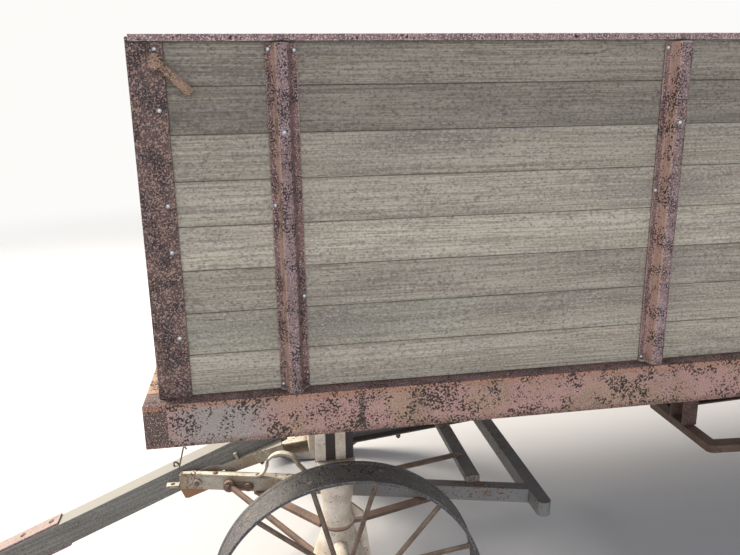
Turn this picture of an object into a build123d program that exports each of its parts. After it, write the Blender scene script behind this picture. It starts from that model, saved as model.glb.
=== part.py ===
"""Four-wheeled hay wagon: a board-sided box on a steel frame, carried by a turning front truck and a fixed
rear truck on steel-spoked wheels, with a stub tongue that rests on the ground.

Millimetres. +X is forward, +Y is the wagon's left and +Z is up. The ground is z = 0, and the origin is on the
ground under the middle of the parked wagon's length and width.
"""

from build123d import *
from math import asin, atan2, cos, degrees, hypot, radians, sin, tan
import os

# Wheels: outer radius, rim width and the height of each spindle
FRONT_WHEEL_R = 355.6
REAR_WHEEL_R = 406.4
RIM_WIDTH = 102.0
RIM_THICK = 9.0
RIM_BEAD = 3.0
RIM_BEAD_WIDTH = 12.0
TRACK = 1389.0
SPOKES = 12
SPOKE_R = 6.5
HUB_R = 44.0
HUB_LENGTH = 176.0
HUB_FLANGE_R = 60.0
HUB_FLANGE_THICK = 14.0
HUB_CAP_R = 34.0
HUB_CAP_LENGTH = 22.0
SPOKE_INSET = 20.0

# Spindles and cast columns
SPINDLE_R = 22.0
SPINDLE_COLLAR_R = 36.0
SPINDLE_COLLAR_THICK = 12.0
RUNNING_GAP = 0.08
HUB_END_GAP = 3.0
COLUMN_Y = 452.0
COLUMN_R = 47.0
COLUMN_WAIST_R = 41.0
COLUMN_RING_R = 51.0
COLUMN_RING_H = 14.0
COLUMN_FOOT_R = 84.0
COLUMN_FOOT_DROP = 96.0
COLUMN_FOOT_LIP = 16.0
COLUMN_RING_RISE = 56.0
COLUMN_BELL_H = 76.0
COLUMN_TOP_Z = 612.0
COLUMN_CAP_R = 55.0
COLUMN_CAP_H = 16.0
WEB_THICK = 14.0
WEB_REACH = 78.0
YOKE_POST_X = (43.0, -14.0)
YOKE_WIDTH = 30.0
YOKE_THICK = 14.0
YOKE_WEB = 6.0
YOKE_WEB_FRONT = 58.0
YOKE_WEB_BACK = 52.0
YOKE_PLATE_L = 130.0
YOKE_PLATE_W = 70.0
YOKE_PLATE_H = 10.0

# Axle beams between the columns
AXLE_BAR = 50.0
KING_BLOCK_L = 104.0
KING_BLOCK_W = 120.0
KING_BLOCK_H = 68.0

# Front truck hounds, in plan a V that opens to the rear
HOUND_BOTTOM_Z = 326.5
HOUND_TILT_DEG = 1.17
HOUND_H = 50.0
HOUND_FLANGE = 42.0
HOUND_WALL = 6.0
HOUND_FLARE_DEG = 13.0
HOUND_NOSE_X = 495.0
HOUND_NOSE_Y = 62.0
HOUND_TAIL_X = -645.0
JAW_SOLID_X = 350.0
JAW_DROP = 38.0
JAW_DROP_FRONT = 479.0
JAW_DROP_BACK = 372.0
JAW_THICK = 13.0
JAW_EAR_L = 43.0
JAW_EAR_THICK = 10.0
JAW_EAR_HOLE_R = 7.0
REAR_CROSS_W = 46.0
REAR_CROSS_HALF = 410.0
SWAY_X = -475.0
SWAY_W = 48.0
SWAY_H = 24.0
SWAY_HALF = 254.0
BRACE_W = 30.0
BRACE_THICK = 12.0
BRACE_FRONT_X = 235.0
BRACE_BACK_X = -330.0
BRACE_INSET = 20.0
BRACE_FOOT_DROP = 8.5
ROD_R = 10.0
ROD_X = 327.0
ROD_FOOT_Z = 288.0
STAY_W = 24.0
STAY_THICK = 8.0
STAY_TOP_Z = 540.0
STAY_Y = 105.0
BOW_W = 22.0
BOW_THICK = 8.0
BOW_START_X = 489.0
BOW_RISE_X = 208.0
BOW_FALL_X = 60.0
BOW_H = 96.0
BOW_INSET = 22.0

# Tongue, along its own axis from the hinge pin
TONGUE_PIN_X = 435.0
TONGUE_PIN_Z = 362.0
TONGUE_PIN_R = 12.0
TONGUE_PIN_HEAD_R = 14.0
TONGUE_PIN_HEAD_L = 6.0
TONGUE_W = 70.0
TONGUE_TAIL = -330.0
TONGUE_END = 770.0
TONGUE_TOP = 61.0
TONGUE_BOTTOM = -23.0
TONGUE_TIP_TOP = 29.0
TONGUE_TIP_BOTTOM = -55.0
STRAP_W = 60.0
STRAP_THICK = 8.0
STRAP_START = 490.0
STRAP_TIP = 860.0
HITCH_HOLE_R = 11.0
HITCH_EDGE = 34.0
SIDE_IRON_THICK = 6.0
SIDE_IRON_TOP = 4.0
SIDE_IRON_HIGH = 20.0
SIDE_IRON_BOTTOM = -20.0
SIDE_IRON_TAIL_BOTTOM = -8.0
SIDE_IRON_STEP = -60.0
SIDE_IRON_BACK = -310.0
SIDE_IRON_FRONT = 40.0
SIDE_IRON_FLARE_START = -90.0
SIDE_IRON_FLANGE = 36.0
SIDE_IRON_LEG = 40.0
SIDE_IRON_LEG_RUN = 36.0
PEG_U = -150.0
PEG_R = 5.5
PEG_HEAD_R = 7.5
PEG_HEAD_H = 5.0
PEG_RISE = 22.0
TONGUE_SIDE_GAP = 10.0

# Sand board, bolsters, king bolt, long sills and reach
KING_BOLT_R = 16.0
KING_BOLT_GAP = 0.5
KING_HEAD_R = 30.0
KING_HEAD_H = 18.0
SAND_BOARD_W = 100.0
SAND_BOARD_H = 66.0
SAND_BOARD_L = 1080.0
WEAR_PLATE_R = 110.0
WEAR_PLATE_THICK = 6.0
WEAR_GAP = 0.5
BOLSTER_W = 100.0
BOLSTER_H = 60.0
BOLSTER_L = 1120.0
LONG_SILL_Y = 400.0
LONG_SILL_W = 70.0
LONG_SILL_H = 90.0
REACH_W = 70.0
REACH_H = 70.0
REACH_NOSE = 70.0
REACH_TAIL = 190.0
REACH_GAP = 8.0
WHEELBASE = 2950.0

# Rear truck
REAR_HOUND_H = 30.0
REAR_HOUND_W = 46.0
REAR_HOUND_WALL = 6.0
REAR_HOUND_FRONT = 1575.0
REAR_HOUND_FRONT_Y = 203.0
REAR_HOUND_BACK = 150.0
REAR_HOUND_BACK_Y = 330.0
REACH_CLAMP_W = 60.0
REACH_CLAMP_THICK = 8.0

# Box: frame of channel, floor, boards, posts and stakes
FRAME_W = 1981.0
SILL_BOTTOM_Z = 971.0
SILL_H = 90.0
SILL_FLANGE = 60.0
SILL_WALL = 6.0
SILL_LEDGE = 35.0
STAKES = 6
STAKE_END = 256.5
STAKE_PITCH = 762.0
STAKE_W = 57.0
STAKE_CROWN_W = 22.0
STAKE_BASE_W = 33.0
STAKE_DEPTH = 30.0
STAKE_WALL = 4.0
STAKE_TOP_GAP = 12.0
BOARDS = 8
BOARD_W = 83.0
BOARD_THICK = 20.0
BOARD_GROOVE = 3.0
BOARD_GROOVE_DEPTH = 2.5
FLOOR_THICK = 28.0
FLOOR_PLANKS = 12
FLOOR_GROOVE = 5.0
JOIST_W = 55.0
POST_LEG = 62.0
POST_WALL = 6.0
RAIL_H = 8.0
RAIL_THICK = 4.0
RAIL_PROUD = 7.0
BOX_FRONT = 382.5
BOX_ROD_R = 8.5
BOX_ROD_DROP = 42.0
BOX_ROD_INSET = 44.0
BOX_ROD_KNOB_R = 12.0
BOX_ROD_KNOB_L = 18.0
BOX_ROD_HANDLE = 76.0
BOX_ROD_HANDLE_DEG = 44.0
BOX_ROD_END = 8.0

# Rear gate, hinged along the bottom edge behind the rear sill
GATE_THICK = 20.0
GATE_BACK_GAP = 6.0
GATE_BOTTOM_GAP = 8.0
GATE_TOP_GAP = 10.0
GATE_HINGE_R = 9.0
GATE_HINGE_PIN_R = 6.0
GATE_HINGE_RISE = 14.0
GATE_HINGE_OUT = 14.0
GATE_LUG_GAP = 2.0
GATE_LUG_THICK = 10.0
GATE_LUG_DROP = 52.0
GATE_BATTEN_W = 60.0
GATE_BATTEN_T = 12.0
GATE_BATTEN_Y = (-600.0, 0.0, 600.0)
GATE_HINGE_Y = (-600.0, 600.0)

# Sizes worked out from the ones above
BOX_L = 2 * STAKE_END + (STAKES - 1) * STAKE_PITCH
BOX_W = FRAME_W - 2 * SILL_LEDGE
SILL_TOP_Z = SILL_BOTTOM_Z + SILL_H
WALL_TOP_Z = SILL_TOP_Z + BOARDS * BOARD_W
FLOOR_TOP_Z = SILL_TOP_Z + FLOOR_THICK
HOUND_TOP_Z = HOUND_BOTTOM_Z + HOUND_H
FRONT_BEAM_Z = HOUND_TOP_Z + AXLE_BAR / 2
REAR_BEAM_Z = REAR_WHEEL_R
LONG_SILL_Z = SILL_BOTTOM_Z - LONG_SILL_H
BOLSTER_Z = LONG_SILL_Z - BOLSTER_H
SAND_BOARD_Z = BOLSTER_Z - 2 * WEAR_PLATE_THICK - WEAR_GAP - SAND_BOARD_H
KING_BLOCK_Z = FRONT_BEAM_Z + AXLE_BAR / 2
REACH_Z = KING_BLOCK_Z + KING_BLOCK_H + REACH_GAP
FLARE = tan(radians(HOUND_FLARE_DEG))
HOUND_RISE = tan(radians(HOUND_TILT_DEG))

# Tongue angle that puts the lower strap's tip on the ground
STRAP_LOW = TONGUE_TIP_BOTTOM - STRAP_THICK
TIP_ARM = hypot(STRAP_TIP, STRAP_LOW)
TONGUE_DROP = asin(TONGUE_PIN_Z / TIP_ARM) - atan2(-STRAP_LOW, STRAP_TIP)
STRAP_HIGH = TONGUE_TIP_TOP + STRAP_THICK
TIP_REACH = TONGUE_PIN_X + STRAP_TIP * cos(TONGUE_DROP) + STRAP_HIGH * sin(TONGUE_DROP)

# The front axle's x puts the origin in the middle of the whole length
HINGE_AXIS_OUT = SILL_LEDGE + GATE_HINGE_OUT
BOX_BACK = BOX_L - BOX_FRONT
TAIL_REACH = BOX_BACK + HINGE_AXIS_OUT + GATE_HINGE_R
AXLE_X = (TAIL_REACH - TIP_REACH) / 2
REAR_X = AXLE_X - WHEELBASE
FRONT_X = AXLE_X + BOX_FRONT
BACK_X = FRONT_X - BOX_L
BOX_ROD_X = (FRONT_X - BOX_ROD_INSET, BACK_X + BOX_ROD_INSET)
BOX_ROD_Z = WALL_TOP_Z - BOX_ROD_DROP

SIDES = (("left", 1), ("right", -1))
WHEELS = (  # name, x of the axle, side, outer radius
    ("wheel_fl", AXLE_X, 1, FRONT_WHEEL_R),
    ("wheel_fr", AXLE_X, -1, FRONT_WHEEL_R),
    ("wheel_rl", REAR_X, 1, REAR_WHEEL_R),
    ("wheel_rr", REAR_X, -1, REAR_WHEEL_R),
)

pieces = {}


def keep(name, builder):
    """Label a finished sub-part and remember it for export."""
    builder.part.label = name
    pieces[name] = builder.part


def block(x0, x1, y0, y1, z0, z1, mode=Mode.ADD):
    """A box between two corners, inside the sub-part being built."""
    with Locations(((x0 + x1) / 2, (y0 + y1) / 2, (z0 + z1) / 2)):
        Box(abs(x1 - x0), abs(y1 - y0), abs(z1 - z0), mode=mode)


def rod(start, end, radius, mode=Mode.ADD):
    """A round bar from one point to another."""
    way = Vector(end) - Vector(start)
    with BuildSketch(Plane(origin=start, z_dir=way)) as section:
        Circle(radius)
    extrude(section.sketch, amount=way.length, mode=mode)


def flat_bar(start, end, width, thick):
    """A flat bar between two points, its width level and its thickness upright."""
    way = Vector(end) - Vector(start)
    across = Vector(0, 0, 1).cross(way)
    with BuildSketch(Plane(origin=start, x_dir=across, z_dir=way)) as section:
        Rectangle(width, thick)
    extrude(section.sketch, amount=way.length)


# Box frame: channel side sills with their flanges inward, and channel end sills between them
with BuildPart() as side_sills:
    for _, side in SIDES:
        outer = side * FRAME_W / 2
        back, front = BACK_X - SILL_LEDGE, FRONT_X + SILL_LEDGE
        block(back, front, outer, outer - side * SILL_FLANGE, SILL_BOTTOM_Z, SILL_TOP_Z)
        block(
            back,
            front,
            outer - side * SILL_WALL,
            outer - side * SILL_FLANGE,
            SILL_BOTTOM_Z + SILL_WALL,
            SILL_TOP_Z - SILL_WALL,
            Mode.SUBTRACT,
        )
keep("side_sills", side_sills)

END_SILL_HALF = FRAME_W / 2 - SILL_FLANGE
with BuildPart() as end_sills:
    for face, inward in ((FRONT_X + SILL_LEDGE, -1), (BACK_X - SILL_LEDGE, 1)):
        block(face, face + inward * SILL_FLANGE, -END_SILL_HALF, END_SILL_HALF, SILL_BOTTOM_Z, SILL_TOP_Z)
        block(
            face + inward * SILL_WALL,
            face + inward * SILL_FLANGE,
            -END_SILL_HALF,
            END_SILL_HALF,
            SILL_BOTTOM_Z + SILL_WALL,
            SILL_TOP_Z - SILL_WALL,
            Mode.SUBTRACT,
        )
keep("end_sills", end_sills)

STAKE_X = [FRONT_X - STAKE_END - i * STAKE_PITCH for i in range(STAKES)]
with BuildPart() as cross_joists:
    for x in STAKE_X:
        block(x - JOIST_W / 2, x + JOIST_W / 2, -END_SILL_HALF, END_SILL_HALF, SILL_BOTTOM_Z, SILL_TOP_Z)
keep("cross_joists", cross_joists)

FLOOR_HALF = BOX_W / 2 - BOARD_THICK
with BuildPart() as floor:
    block(BACK_X, FRONT_X - BOARD_THICK, -FLOOR_HALF, FLOOR_HALF, SILL_TOP_Z, FLOOR_TOP_Z)
    plank = 2 * FLOOR_HALF / FLOOR_PLANKS
    for i in range(1, FLOOR_PLANKS):
        seam = -FLOOR_HALF + i * plank
        block(
            BACK_X,
            FRONT_X - BOARD_THICK,
            seam - FLOOR_GROOVE / 2,
            seam + FLOOR_GROOVE / 2,
            FLOOR_TOP_Z - FLOOR_GROOVE,
            FLOOR_TOP_Z,
            Mode.SUBTRACT,
        )
keep("floor", floor)

# Board walls: the seams between boards are cut into both faces
for name, side in SIDES:
    with BuildPart() as side_wall:
        outer = side * BOX_W / 2
        inner = outer - side * BOARD_THICK
        block(BACK_X, FRONT_X, outer, inner, SILL_TOP_Z, WALL_TOP_Z)
        for i in range(1, BOARDS):
            seam = SILL_TOP_Z + i * BOARD_W
            for face, inward in ((outer, -side), (inner, side)):
                block(
                    BACK_X,
                    FRONT_X,
                    face,
                    face + inward * BOARD_GROOVE_DEPTH,
                    seam - BOARD_GROOVE / 2,
                    seam + BOARD_GROOVE / 2,
                    Mode.SUBTRACT,
                )
        for x in BOX_ROD_X:
            rod((x, outer + side, BOX_ROD_Z), (x, inner - side, BOX_ROD_Z), BOX_ROD_R, Mode.SUBTRACT)
    keep(f"side_wall_{name}", side_wall)

with BuildPart() as front_wall:
    block(FRONT_X - BOARD_THICK, FRONT_X, -FLOOR_HALF, FLOOR_HALF, SILL_TOP_Z, WALL_TOP_Z)
    for i in range(1, BOARDS):
        seam = SILL_TOP_Z + i * BOARD_W
        for face, inward in ((FRONT_X, -1), (FRONT_X - BOARD_THICK, 1)):
            block(
                face,
                face + inward * BOARD_GROOVE_DEPTH,
                -FLOOR_HALF,
                FLOOR_HALF,
                seam - BOARD_GROOVE / 2,
                seam + BOARD_GROOVE / 2,
                Mode.SUBTRACT,
            )
keep("front_wall", front_wall)

# Corner posts: angle iron round the two front corners, and a bar on the side wall at the two rear corners
with BuildPart() as corner_posts:
    for _, side in SIDES:
        outer = side * (BOX_W / 2 + POST_WALL)
        skin = side * BOX_W / 2
        block(FRONT_X - POST_LEG + POST_WALL, FRONT_X + POST_WALL, outer, skin, SILL_TOP_Z, WALL_TOP_Z)
        block(FRONT_X, FRONT_X + POST_WALL, outer, outer - side * POST_LEG, SILL_TOP_Z, WALL_TOP_Z)
        block(BACK_X, BACK_X + POST_LEG, outer, skin, SILL_TOP_Z, WALL_TOP_Z)
    for _, side in SIDES:
        for x in BOX_ROD_X:
            under = side * (BOX_W / 2 - 1)
            over = side * (BOX_W / 2 + 2 * POST_WALL)
            rod((x, under, BOX_ROD_Z), (x, over, BOX_ROD_Z), BOX_ROD_R, Mode.SUBTRACT)
keep("corner_posts", corner_posts)


def stake_outline():
    """Half of a hat section: flange, slanted wall and crown, mirrored about the stake's middle."""
    Polygon(
        (0, STAKE_DEPTH),
        (STAKE_CROWN_W / 2, STAKE_DEPTH),
        (STAKE_BASE_W / 2, STAKE_WALL),
        (STAKE_W / 2, STAKE_WALL),
        (STAKE_W / 2, 0),
        (STAKE_BASE_W / 2 - STAKE_WALL, 0),
        (STAKE_CROWN_W / 2 - STAKE_WALL, STAKE_DEPTH - STAKE_WALL),
        (0, STAKE_DEPTH - STAKE_WALL),
        align=None,
    )
    mirror(about=Plane.YZ)


STAKE_LENGTH = BOARDS * BOARD_W - STAKE_TOP_GAP
with BuildPart() as side_stakes:
    for _, side in SIDES:
        for x in STAKE_X:
            foot = Plane(origin=(x, side * BOX_W / 2, SILL_TOP_Z), x_dir=(side, 0, 0), z_dir=(0, 0, 1))
            with BuildSketch(foot):
                stake_outline()
            extrude(amount=STAKE_LENGTH)
keep("side_stakes", side_stakes)

FRONT_STAKE_Y = (-BOX_W / 6, BOX_W / 6)
with BuildPart() as front_stakes:
    for y in FRONT_STAKE_Y:
        with BuildSketch(Plane(origin=(FRONT_X, y, SILL_TOP_Z), x_dir=(0, -1, 0), z_dir=(0, 0, 1))):
            stake_outline()
        extrude(amount=STAKE_LENGTH)
keep("front_stakes", front_stakes)

# Top rail: a flat cap round three sides of the box, with a turned-down lip along the two long ones
with BuildPart() as top_rail:
    rim = RAIL_PROUD + RAIL_THICK
    for _, side in SIDES:
        face = side * (BOX_W / 2)
        lip = face + side * rim
        block(BACK_X, FRONT_X, lip, face - side * BOARD_THICK, WALL_TOP_Z, WALL_TOP_Z + RAIL_THICK)
        block(BACK_X, FRONT_X, face + side * RAIL_PROUD, lip, WALL_TOP_Z - RAIL_H, WALL_TOP_Z)
    half = BOX_W / 2
    block(FRONT_X - BOARD_THICK, FRONT_X, -half, half, WALL_TOP_Z, WALL_TOP_Z + RAIL_THICK)
keep("top_rail", top_rail)

# Box rods: tie bars through the top corners, with a bent handle on the left and a nut on the right
with BuildPart() as box_rods:
    face = BOX_W / 2 + POST_WALL
    knob = face + BOX_ROD_KNOB_L
    grip_y = knob - BOX_ROD_R
    tilt = radians(BOX_ROD_HANDLE_DEG)
    for x, way in zip(BOX_ROD_X, (-1, 1)):
        rod((x, -face - BOX_ROD_END, BOX_ROD_Z), (x, knob, BOX_ROD_Z), BOX_ROD_R)
        rod((x, face, BOX_ROD_Z), (x, knob, BOX_ROD_Z), BOX_ROD_KNOB_R)
        rod((x, -face - BOX_ROD_END, BOX_ROD_Z), (x, -face, BOX_ROD_Z), BOX_ROD_KNOB_R)
        end = (x + way * BOX_ROD_HANDLE * cos(tilt), grip_y, BOX_ROD_Z - BOX_ROD_HANDLE * sin(tilt))
        rod((x, grip_y, BOX_ROD_Z), end, BOX_ROD_R)
keep("box_rods", box_rods)

# Long sills carry the joists on the two bolsters
with BuildPart() as long_sills:
    for _, side in SIDES:
        middle = side * LONG_SILL_Y
        block(
            BACK_X,
            FRONT_X,
            middle - LONG_SILL_W / 2,
            middle + LONG_SILL_W / 2,
            LONG_SILL_Z,
            SILL_BOTTOM_Z,
        )
keep("long_sills", long_sills)

with BuildPart() as bolsters:
    for x in (AXLE_X, REAR_X):
        block(x - BOLSTER_W / 2, x + BOLSTER_W / 2, -BOLSTER_L / 2, BOLSTER_L / 2, BOLSTER_Z, LONG_SILL_Z)
    rod((AXLE_X, 0, BOLSTER_Z - WEAR_PLATE_THICK), (AXLE_X, 0, BOLSTER_Z), WEAR_PLATE_R)
    bore_r = KING_BOLT_R + KING_BOLT_GAP
    rod((AXLE_X, 0, BOLSTER_Z - WEAR_PLATE_THICK), (AXLE_X, 0, LONG_SILL_Z), bore_r, Mode.SUBTRACT)
keep("bolsters", bolsters)

with BuildPart() as king_bolt:
    low = HOUND_TOP_Z - KING_HEAD_H - HUB_END_GAP
    rod((AXLE_X, 0, low), (AXLE_X, 0, LONG_SILL_Z), KING_BOLT_R)
    rod((AXLE_X, 0, low), (AXLE_X, 0, low + KING_HEAD_H), KING_HEAD_R)
    rod((AXLE_X, 0, LONG_SILL_Z), (AXLE_X, 0, LONG_SILL_Z + KING_HEAD_H), KING_HEAD_R)
keep("king_bolt", king_bolt)

with BuildPart() as reach:
    block(REAR_X - REACH_TAIL, AXLE_X + REACH_NOSE, -REACH_W / 2, REACH_W / 2, REACH_Z, REACH_Z + REACH_H)
    rod((AXLE_X, 0, REACH_Z), (AXLE_X, 0, REACH_Z + REACH_H), bore_r, Mode.SUBTRACT)
keep("reach", reach)

# Turning part of the front truck: sand board under the bolster, axle beam with its king block
with BuildPart() as sand_board:
    top = SAND_BOARD_Z + SAND_BOARD_H
    block(
        AXLE_X - SAND_BOARD_W / 2,
        AXLE_X + SAND_BOARD_W / 2,
        -SAND_BOARD_L / 2,
        SAND_BOARD_L / 2,
        SAND_BOARD_Z,
        top,
    )
    rod((AXLE_X, 0, top), (AXLE_X, 0, top + WEAR_PLATE_THICK), WEAR_PLATE_R)
    rod((AXLE_X, 0, SAND_BOARD_Z), (AXLE_X, 0, top + WEAR_PLATE_THICK), bore_r, Mode.SUBTRACT)
keep("sand_board", sand_board)

with BuildPart() as front_axle:
    half = AXLE_BAR / 2
    block(AXLE_X - half, AXLE_X + half, -COLUMN_Y, COLUMN_Y, FRONT_BEAM_Z - half, FRONT_BEAM_Z + half)
    block(
        AXLE_X - KING_BLOCK_L / 2,
        AXLE_X + KING_BLOCK_L / 2,
        -KING_BLOCK_W / 2,
        KING_BLOCK_W / 2,
        KING_BLOCK_Z,
        KING_BLOCK_Z + KING_BLOCK_H,
    )
    rod((AXLE_X, 0, FRONT_BEAM_Z - half), (AXLE_X, 0, KING_BLOCK_Z + KING_BLOCK_H), bore_r, Mode.SUBTRACT)
keep("front_axle", front_axle)

with BuildPart() as rear_axle:
    half = AXLE_BAR / 2
    block(REAR_X - half, REAR_X + half, -COLUMN_Y, COLUMN_Y, REAR_BEAM_Z - half, REAR_BEAM_Z + half)
    block(
        REAR_X - KING_BLOCK_L / 2,
        REAR_X + KING_BLOCK_L / 2,
        -KING_BLOCK_W / 2,
        KING_BLOCK_W / 2,
        REAR_BEAM_Z + half,
        REACH_Z,
    )
keep("rear_axle", rear_axle)

# Cast columns: a bell over a spreading foot that holds the wheel spindle, with the axle beam let into it
TRUCKS = (  # name, x of the axle, spindle height, beam height, way the web points
    ("front", AXLE_X, FRONT_WHEEL_R, FRONT_BEAM_Z, -1),
    ("rear", REAR_X, REAR_WHEEL_R, REAR_BEAM_Z, 1),
)


def column_outline(spindle_z):
    """Half section of a column, radius against height."""
    foot = spindle_z - COLUMN_FOOT_DROP
    ring = spindle_z + COLUMN_RING_RISE
    bell = ring + COLUMN_RING_H
    neck = bell + COLUMN_BELL_H
    with BuildLine() as outline:
        Polyline(
            (0, foot),
            (COLUMN_FOOT_R, foot),
            (COLUMN_FOOT_R, foot + COLUMN_FOOT_LIP),
            (COLUMN_WAIST_R, ring),
            (COLUMN_RING_R, ring),
            (COLUMN_RING_R, bell),
        )
        ThreePointArc((COLUMN_RING_R, bell), (COLUMN_WAIST_R + 1, (bell + neck) / 2), (COLUMN_R, neck))
        Polyline(
            (COLUMN_R, neck),
            (COLUMN_R, COLUMN_TOP_Z - COLUMN_CAP_H),
            (COLUMN_CAP_R, COLUMN_TOP_Z - COLUMN_CAP_H),
            (COLUMN_CAP_R, COLUMN_TOP_Z),
            (0, COLUMN_TOP_Z),
            (0, foot),
        )
    make_face(outline.edges())


columns = {}
for name, x, spindle_z, beam_z, web_way in TRUCKS:
    with BuildPart() as cast_columns:
        for _, side in SIDES:
            y = side * COLUMN_Y
            with BuildSketch(Plane(origin=(x, y, 0), x_dir=(1, 0, 0), z_dir=(0, -1, 0))):
                column_outline(spindle_z)
            revolve(axis=Axis((x, y, 0), (0, 0, 1)))
            web_face = Plane(origin=(x, y + WEB_THICK / 2, 0), x_dir=(web_way, 0, 0), z_dir=(0, -web_way, 0))
            with BuildSketch(web_face):
                foot = spindle_z - COLUMN_FOOT_DROP
                with BuildLine():
                    Polyline(
                        (0, foot),
                        (COLUMN_FOOT_R + COLUMN_FOOT_LIP, foot),
                        (WEB_REACH, spindle_z + COLUMN_BELL_H),
                        (0, spindle_z + 2 * COLUMN_BELL_H),
                        close=True,
                    )
                make_face()
            extrude(amount=web_way * WEB_THICK)
            tip = side * (TRACK / 2 + HUB_LENGTH / 2)
            rod((x, y, spindle_z), (x, tip, spindle_z), SPINDLE_R)
            collar = side * (TRACK / 2 - HUB_LENGTH / 2 - HUB_END_GAP)
            rod(
                (x, collar - side * SPINDLE_COLLAR_THICK, spindle_z),
                (x, collar, spindle_z),
                SPINDLE_COLLAR_R,
            )
        half = AXLE_BAR / 2
        block(x - half, x + half, -COLUMN_Y, COLUMN_Y, beam_z - half, beam_z + half, Mode.SUBTRACT)
    columns[name] = cast_columns.part
    keep(f"{name}_columns", cast_columns)

# Yokes stand on the columns and carry the sand board or the rear bolster
for name, x, top in (("front", AXLE_X, SAND_BOARD_Z), ("rear", REAR_X, BOLSTER_Z)):
    with BuildPart() as yokes:
        for _, side in SIDES:
            y = side * COLUMN_Y
            for post_x in YOKE_POST_X:
                middle = x + post_x
                block(
                    middle - YOKE_WIDTH / 2,
                    middle + YOKE_WIDTH / 2,
                    y - YOKE_THICK / 2,
                    y + YOKE_THICK / 2,
                    COLUMN_TOP_Z,
                    top - YOKE_PLATE_H,
                )
            web = y - side * YOKE_THICK / 2
            block(
                x - YOKE_WEB_BACK,
                x + YOKE_WEB_FRONT,
                web,
                web + side * YOKE_WEB,
                COLUMN_TOP_Z,
                top - YOKE_PLATE_H,
            )
            block(
                x - YOKE_PLATE_L / 2,
                x + YOKE_PLATE_L / 2,
                y - YOKE_PLATE_W / 2,
                y + YOKE_PLATE_W / 2,
                top - YOKE_PLATE_H,
                top,
            )
    keep(f"{name}_yokes", yokes)


# Front hounds: channels with the web outside, solid at the nose where they form the tongue's jaw. They are
# drawn level, then turned nose up about the foot of the front axle
def hound_outer(x):
    """How far a hound's outer face is from the centre line, x mm ahead of the front axle."""
    return HOUND_NOSE_Y + (HOUND_NOSE_X - x) * FLARE


JAW_INNER = TONGUE_W / 2 + SIDE_IRON_THICK + TONGUE_SIDE_GAP
JAW_END_X = HOUND_NOSE_X - (JAW_INNER + HOUND_FLANGE - HOUND_NOSE_Y) / FLARE


def plan_face(points, side):
    """A face in plan from points given ahead of the front axle and away from the centre line."""
    Polygon(*[(AXLE_X + px, side * py) for px, py in points], align=None)


with BuildPart() as level_hounds:
    for _, side in SIDES:
        with BuildSketch(Plane.XY.offset(HOUND_BOTTOM_Z)):
            plan_face(
                (
                    (HOUND_NOSE_X, JAW_INNER),
                    (HOUND_NOSE_X, HOUND_NOSE_Y),
                    (HOUND_TAIL_X, hound_outer(HOUND_TAIL_X)),
                    (HOUND_TAIL_X, hound_outer(HOUND_TAIL_X) - HOUND_FLANGE),
                    (JAW_END_X, JAW_INNER),
                ),
                side,
            )
        extrude(amount=HOUND_H)
        with BuildSketch(Plane.XY.offset(HOUND_BOTTOM_Z + HOUND_WALL)):
            plan_face(
                (
                    (JAW_SOLID_X, hound_outer(JAW_SOLID_X) - HOUND_WALL),
                    (HOUND_TAIL_X, hound_outer(HOUND_TAIL_X) - HOUND_WALL),
                    (HOUND_TAIL_X, hound_outer(HOUND_TAIL_X) - 2 * HOUND_FLANGE),
                    (JAW_SOLID_X, hound_outer(JAW_SOLID_X) - 2 * HOUND_FLANGE),
                ),
                side,
            )
        extrude(amount=HOUND_H - 2 * HOUND_WALL, mode=Mode.SUBTRACT)
        with BuildSketch(Plane(origin=(AXLE_X, side * JAW_INNER, 0), x_dir=(1, 0, 0), z_dir=(0, -1, 0))):
            with BuildLine():
                Polyline(
                    (JAW_DROP_BACK, HOUND_BOTTOM_Z),
                    (HOUND_NOSE_X, HOUND_BOTTOM_Z),
                    (JAW_DROP_FRONT, HOUND_BOTTOM_Z - JAW_DROP),
                    (JAW_DROP_FRONT - JAW_THICK, HOUND_BOTTOM_Z - JAW_DROP),
                    close=True,
                )
            make_face()
        extrude(amount=-side * JAW_THICK)
        ear_z = HOUND_BOTTOM_Z + JAW_EAR_THICK
        block(
            AXLE_X + HOUND_NOSE_X,
            AXLE_X + HOUND_NOSE_X + JAW_EAR_L,
            side * (HOUND_NOSE_Y - JAW_THICK),
            side * (HOUND_NOSE_Y + JAW_THICK),
            ear_z,
            ear_z + JAW_EAR_THICK,
        )
        hole = (AXLE_X + HOUND_NOSE_X + JAW_EAR_L / 2, side * HOUND_NOSE_Y, ear_z)
        rod(hole, (hole[0], hole[1], ear_z + JAW_EAR_THICK), JAW_EAR_HOLE_R, Mode.SUBTRACT)
TILT_AXIS = Axis((AXLE_X, 0, HOUND_BOTTOM_Z), (0, -1, 0))
with BuildPart() as front_hounds:
    add(level_hounds.part.rotate(TILT_AXIS, HOUND_TILT_DEG))
    for _, side in SIDES:
        pin_x = AXLE_X + TONGUE_PIN_X
        rod(
            (pin_x, side * (JAW_INNER - 1), TONGUE_PIN_Z),
            (pin_x, side * (JAW_INNER + HOUND_FLANGE), TONGUE_PIN_Z),
            TONGUE_PIN_R,
            Mode.SUBTRACT,
        )
    add(front_axle.part, mode=Mode.SUBTRACT)
keep("front_hounds", front_hounds)

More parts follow.
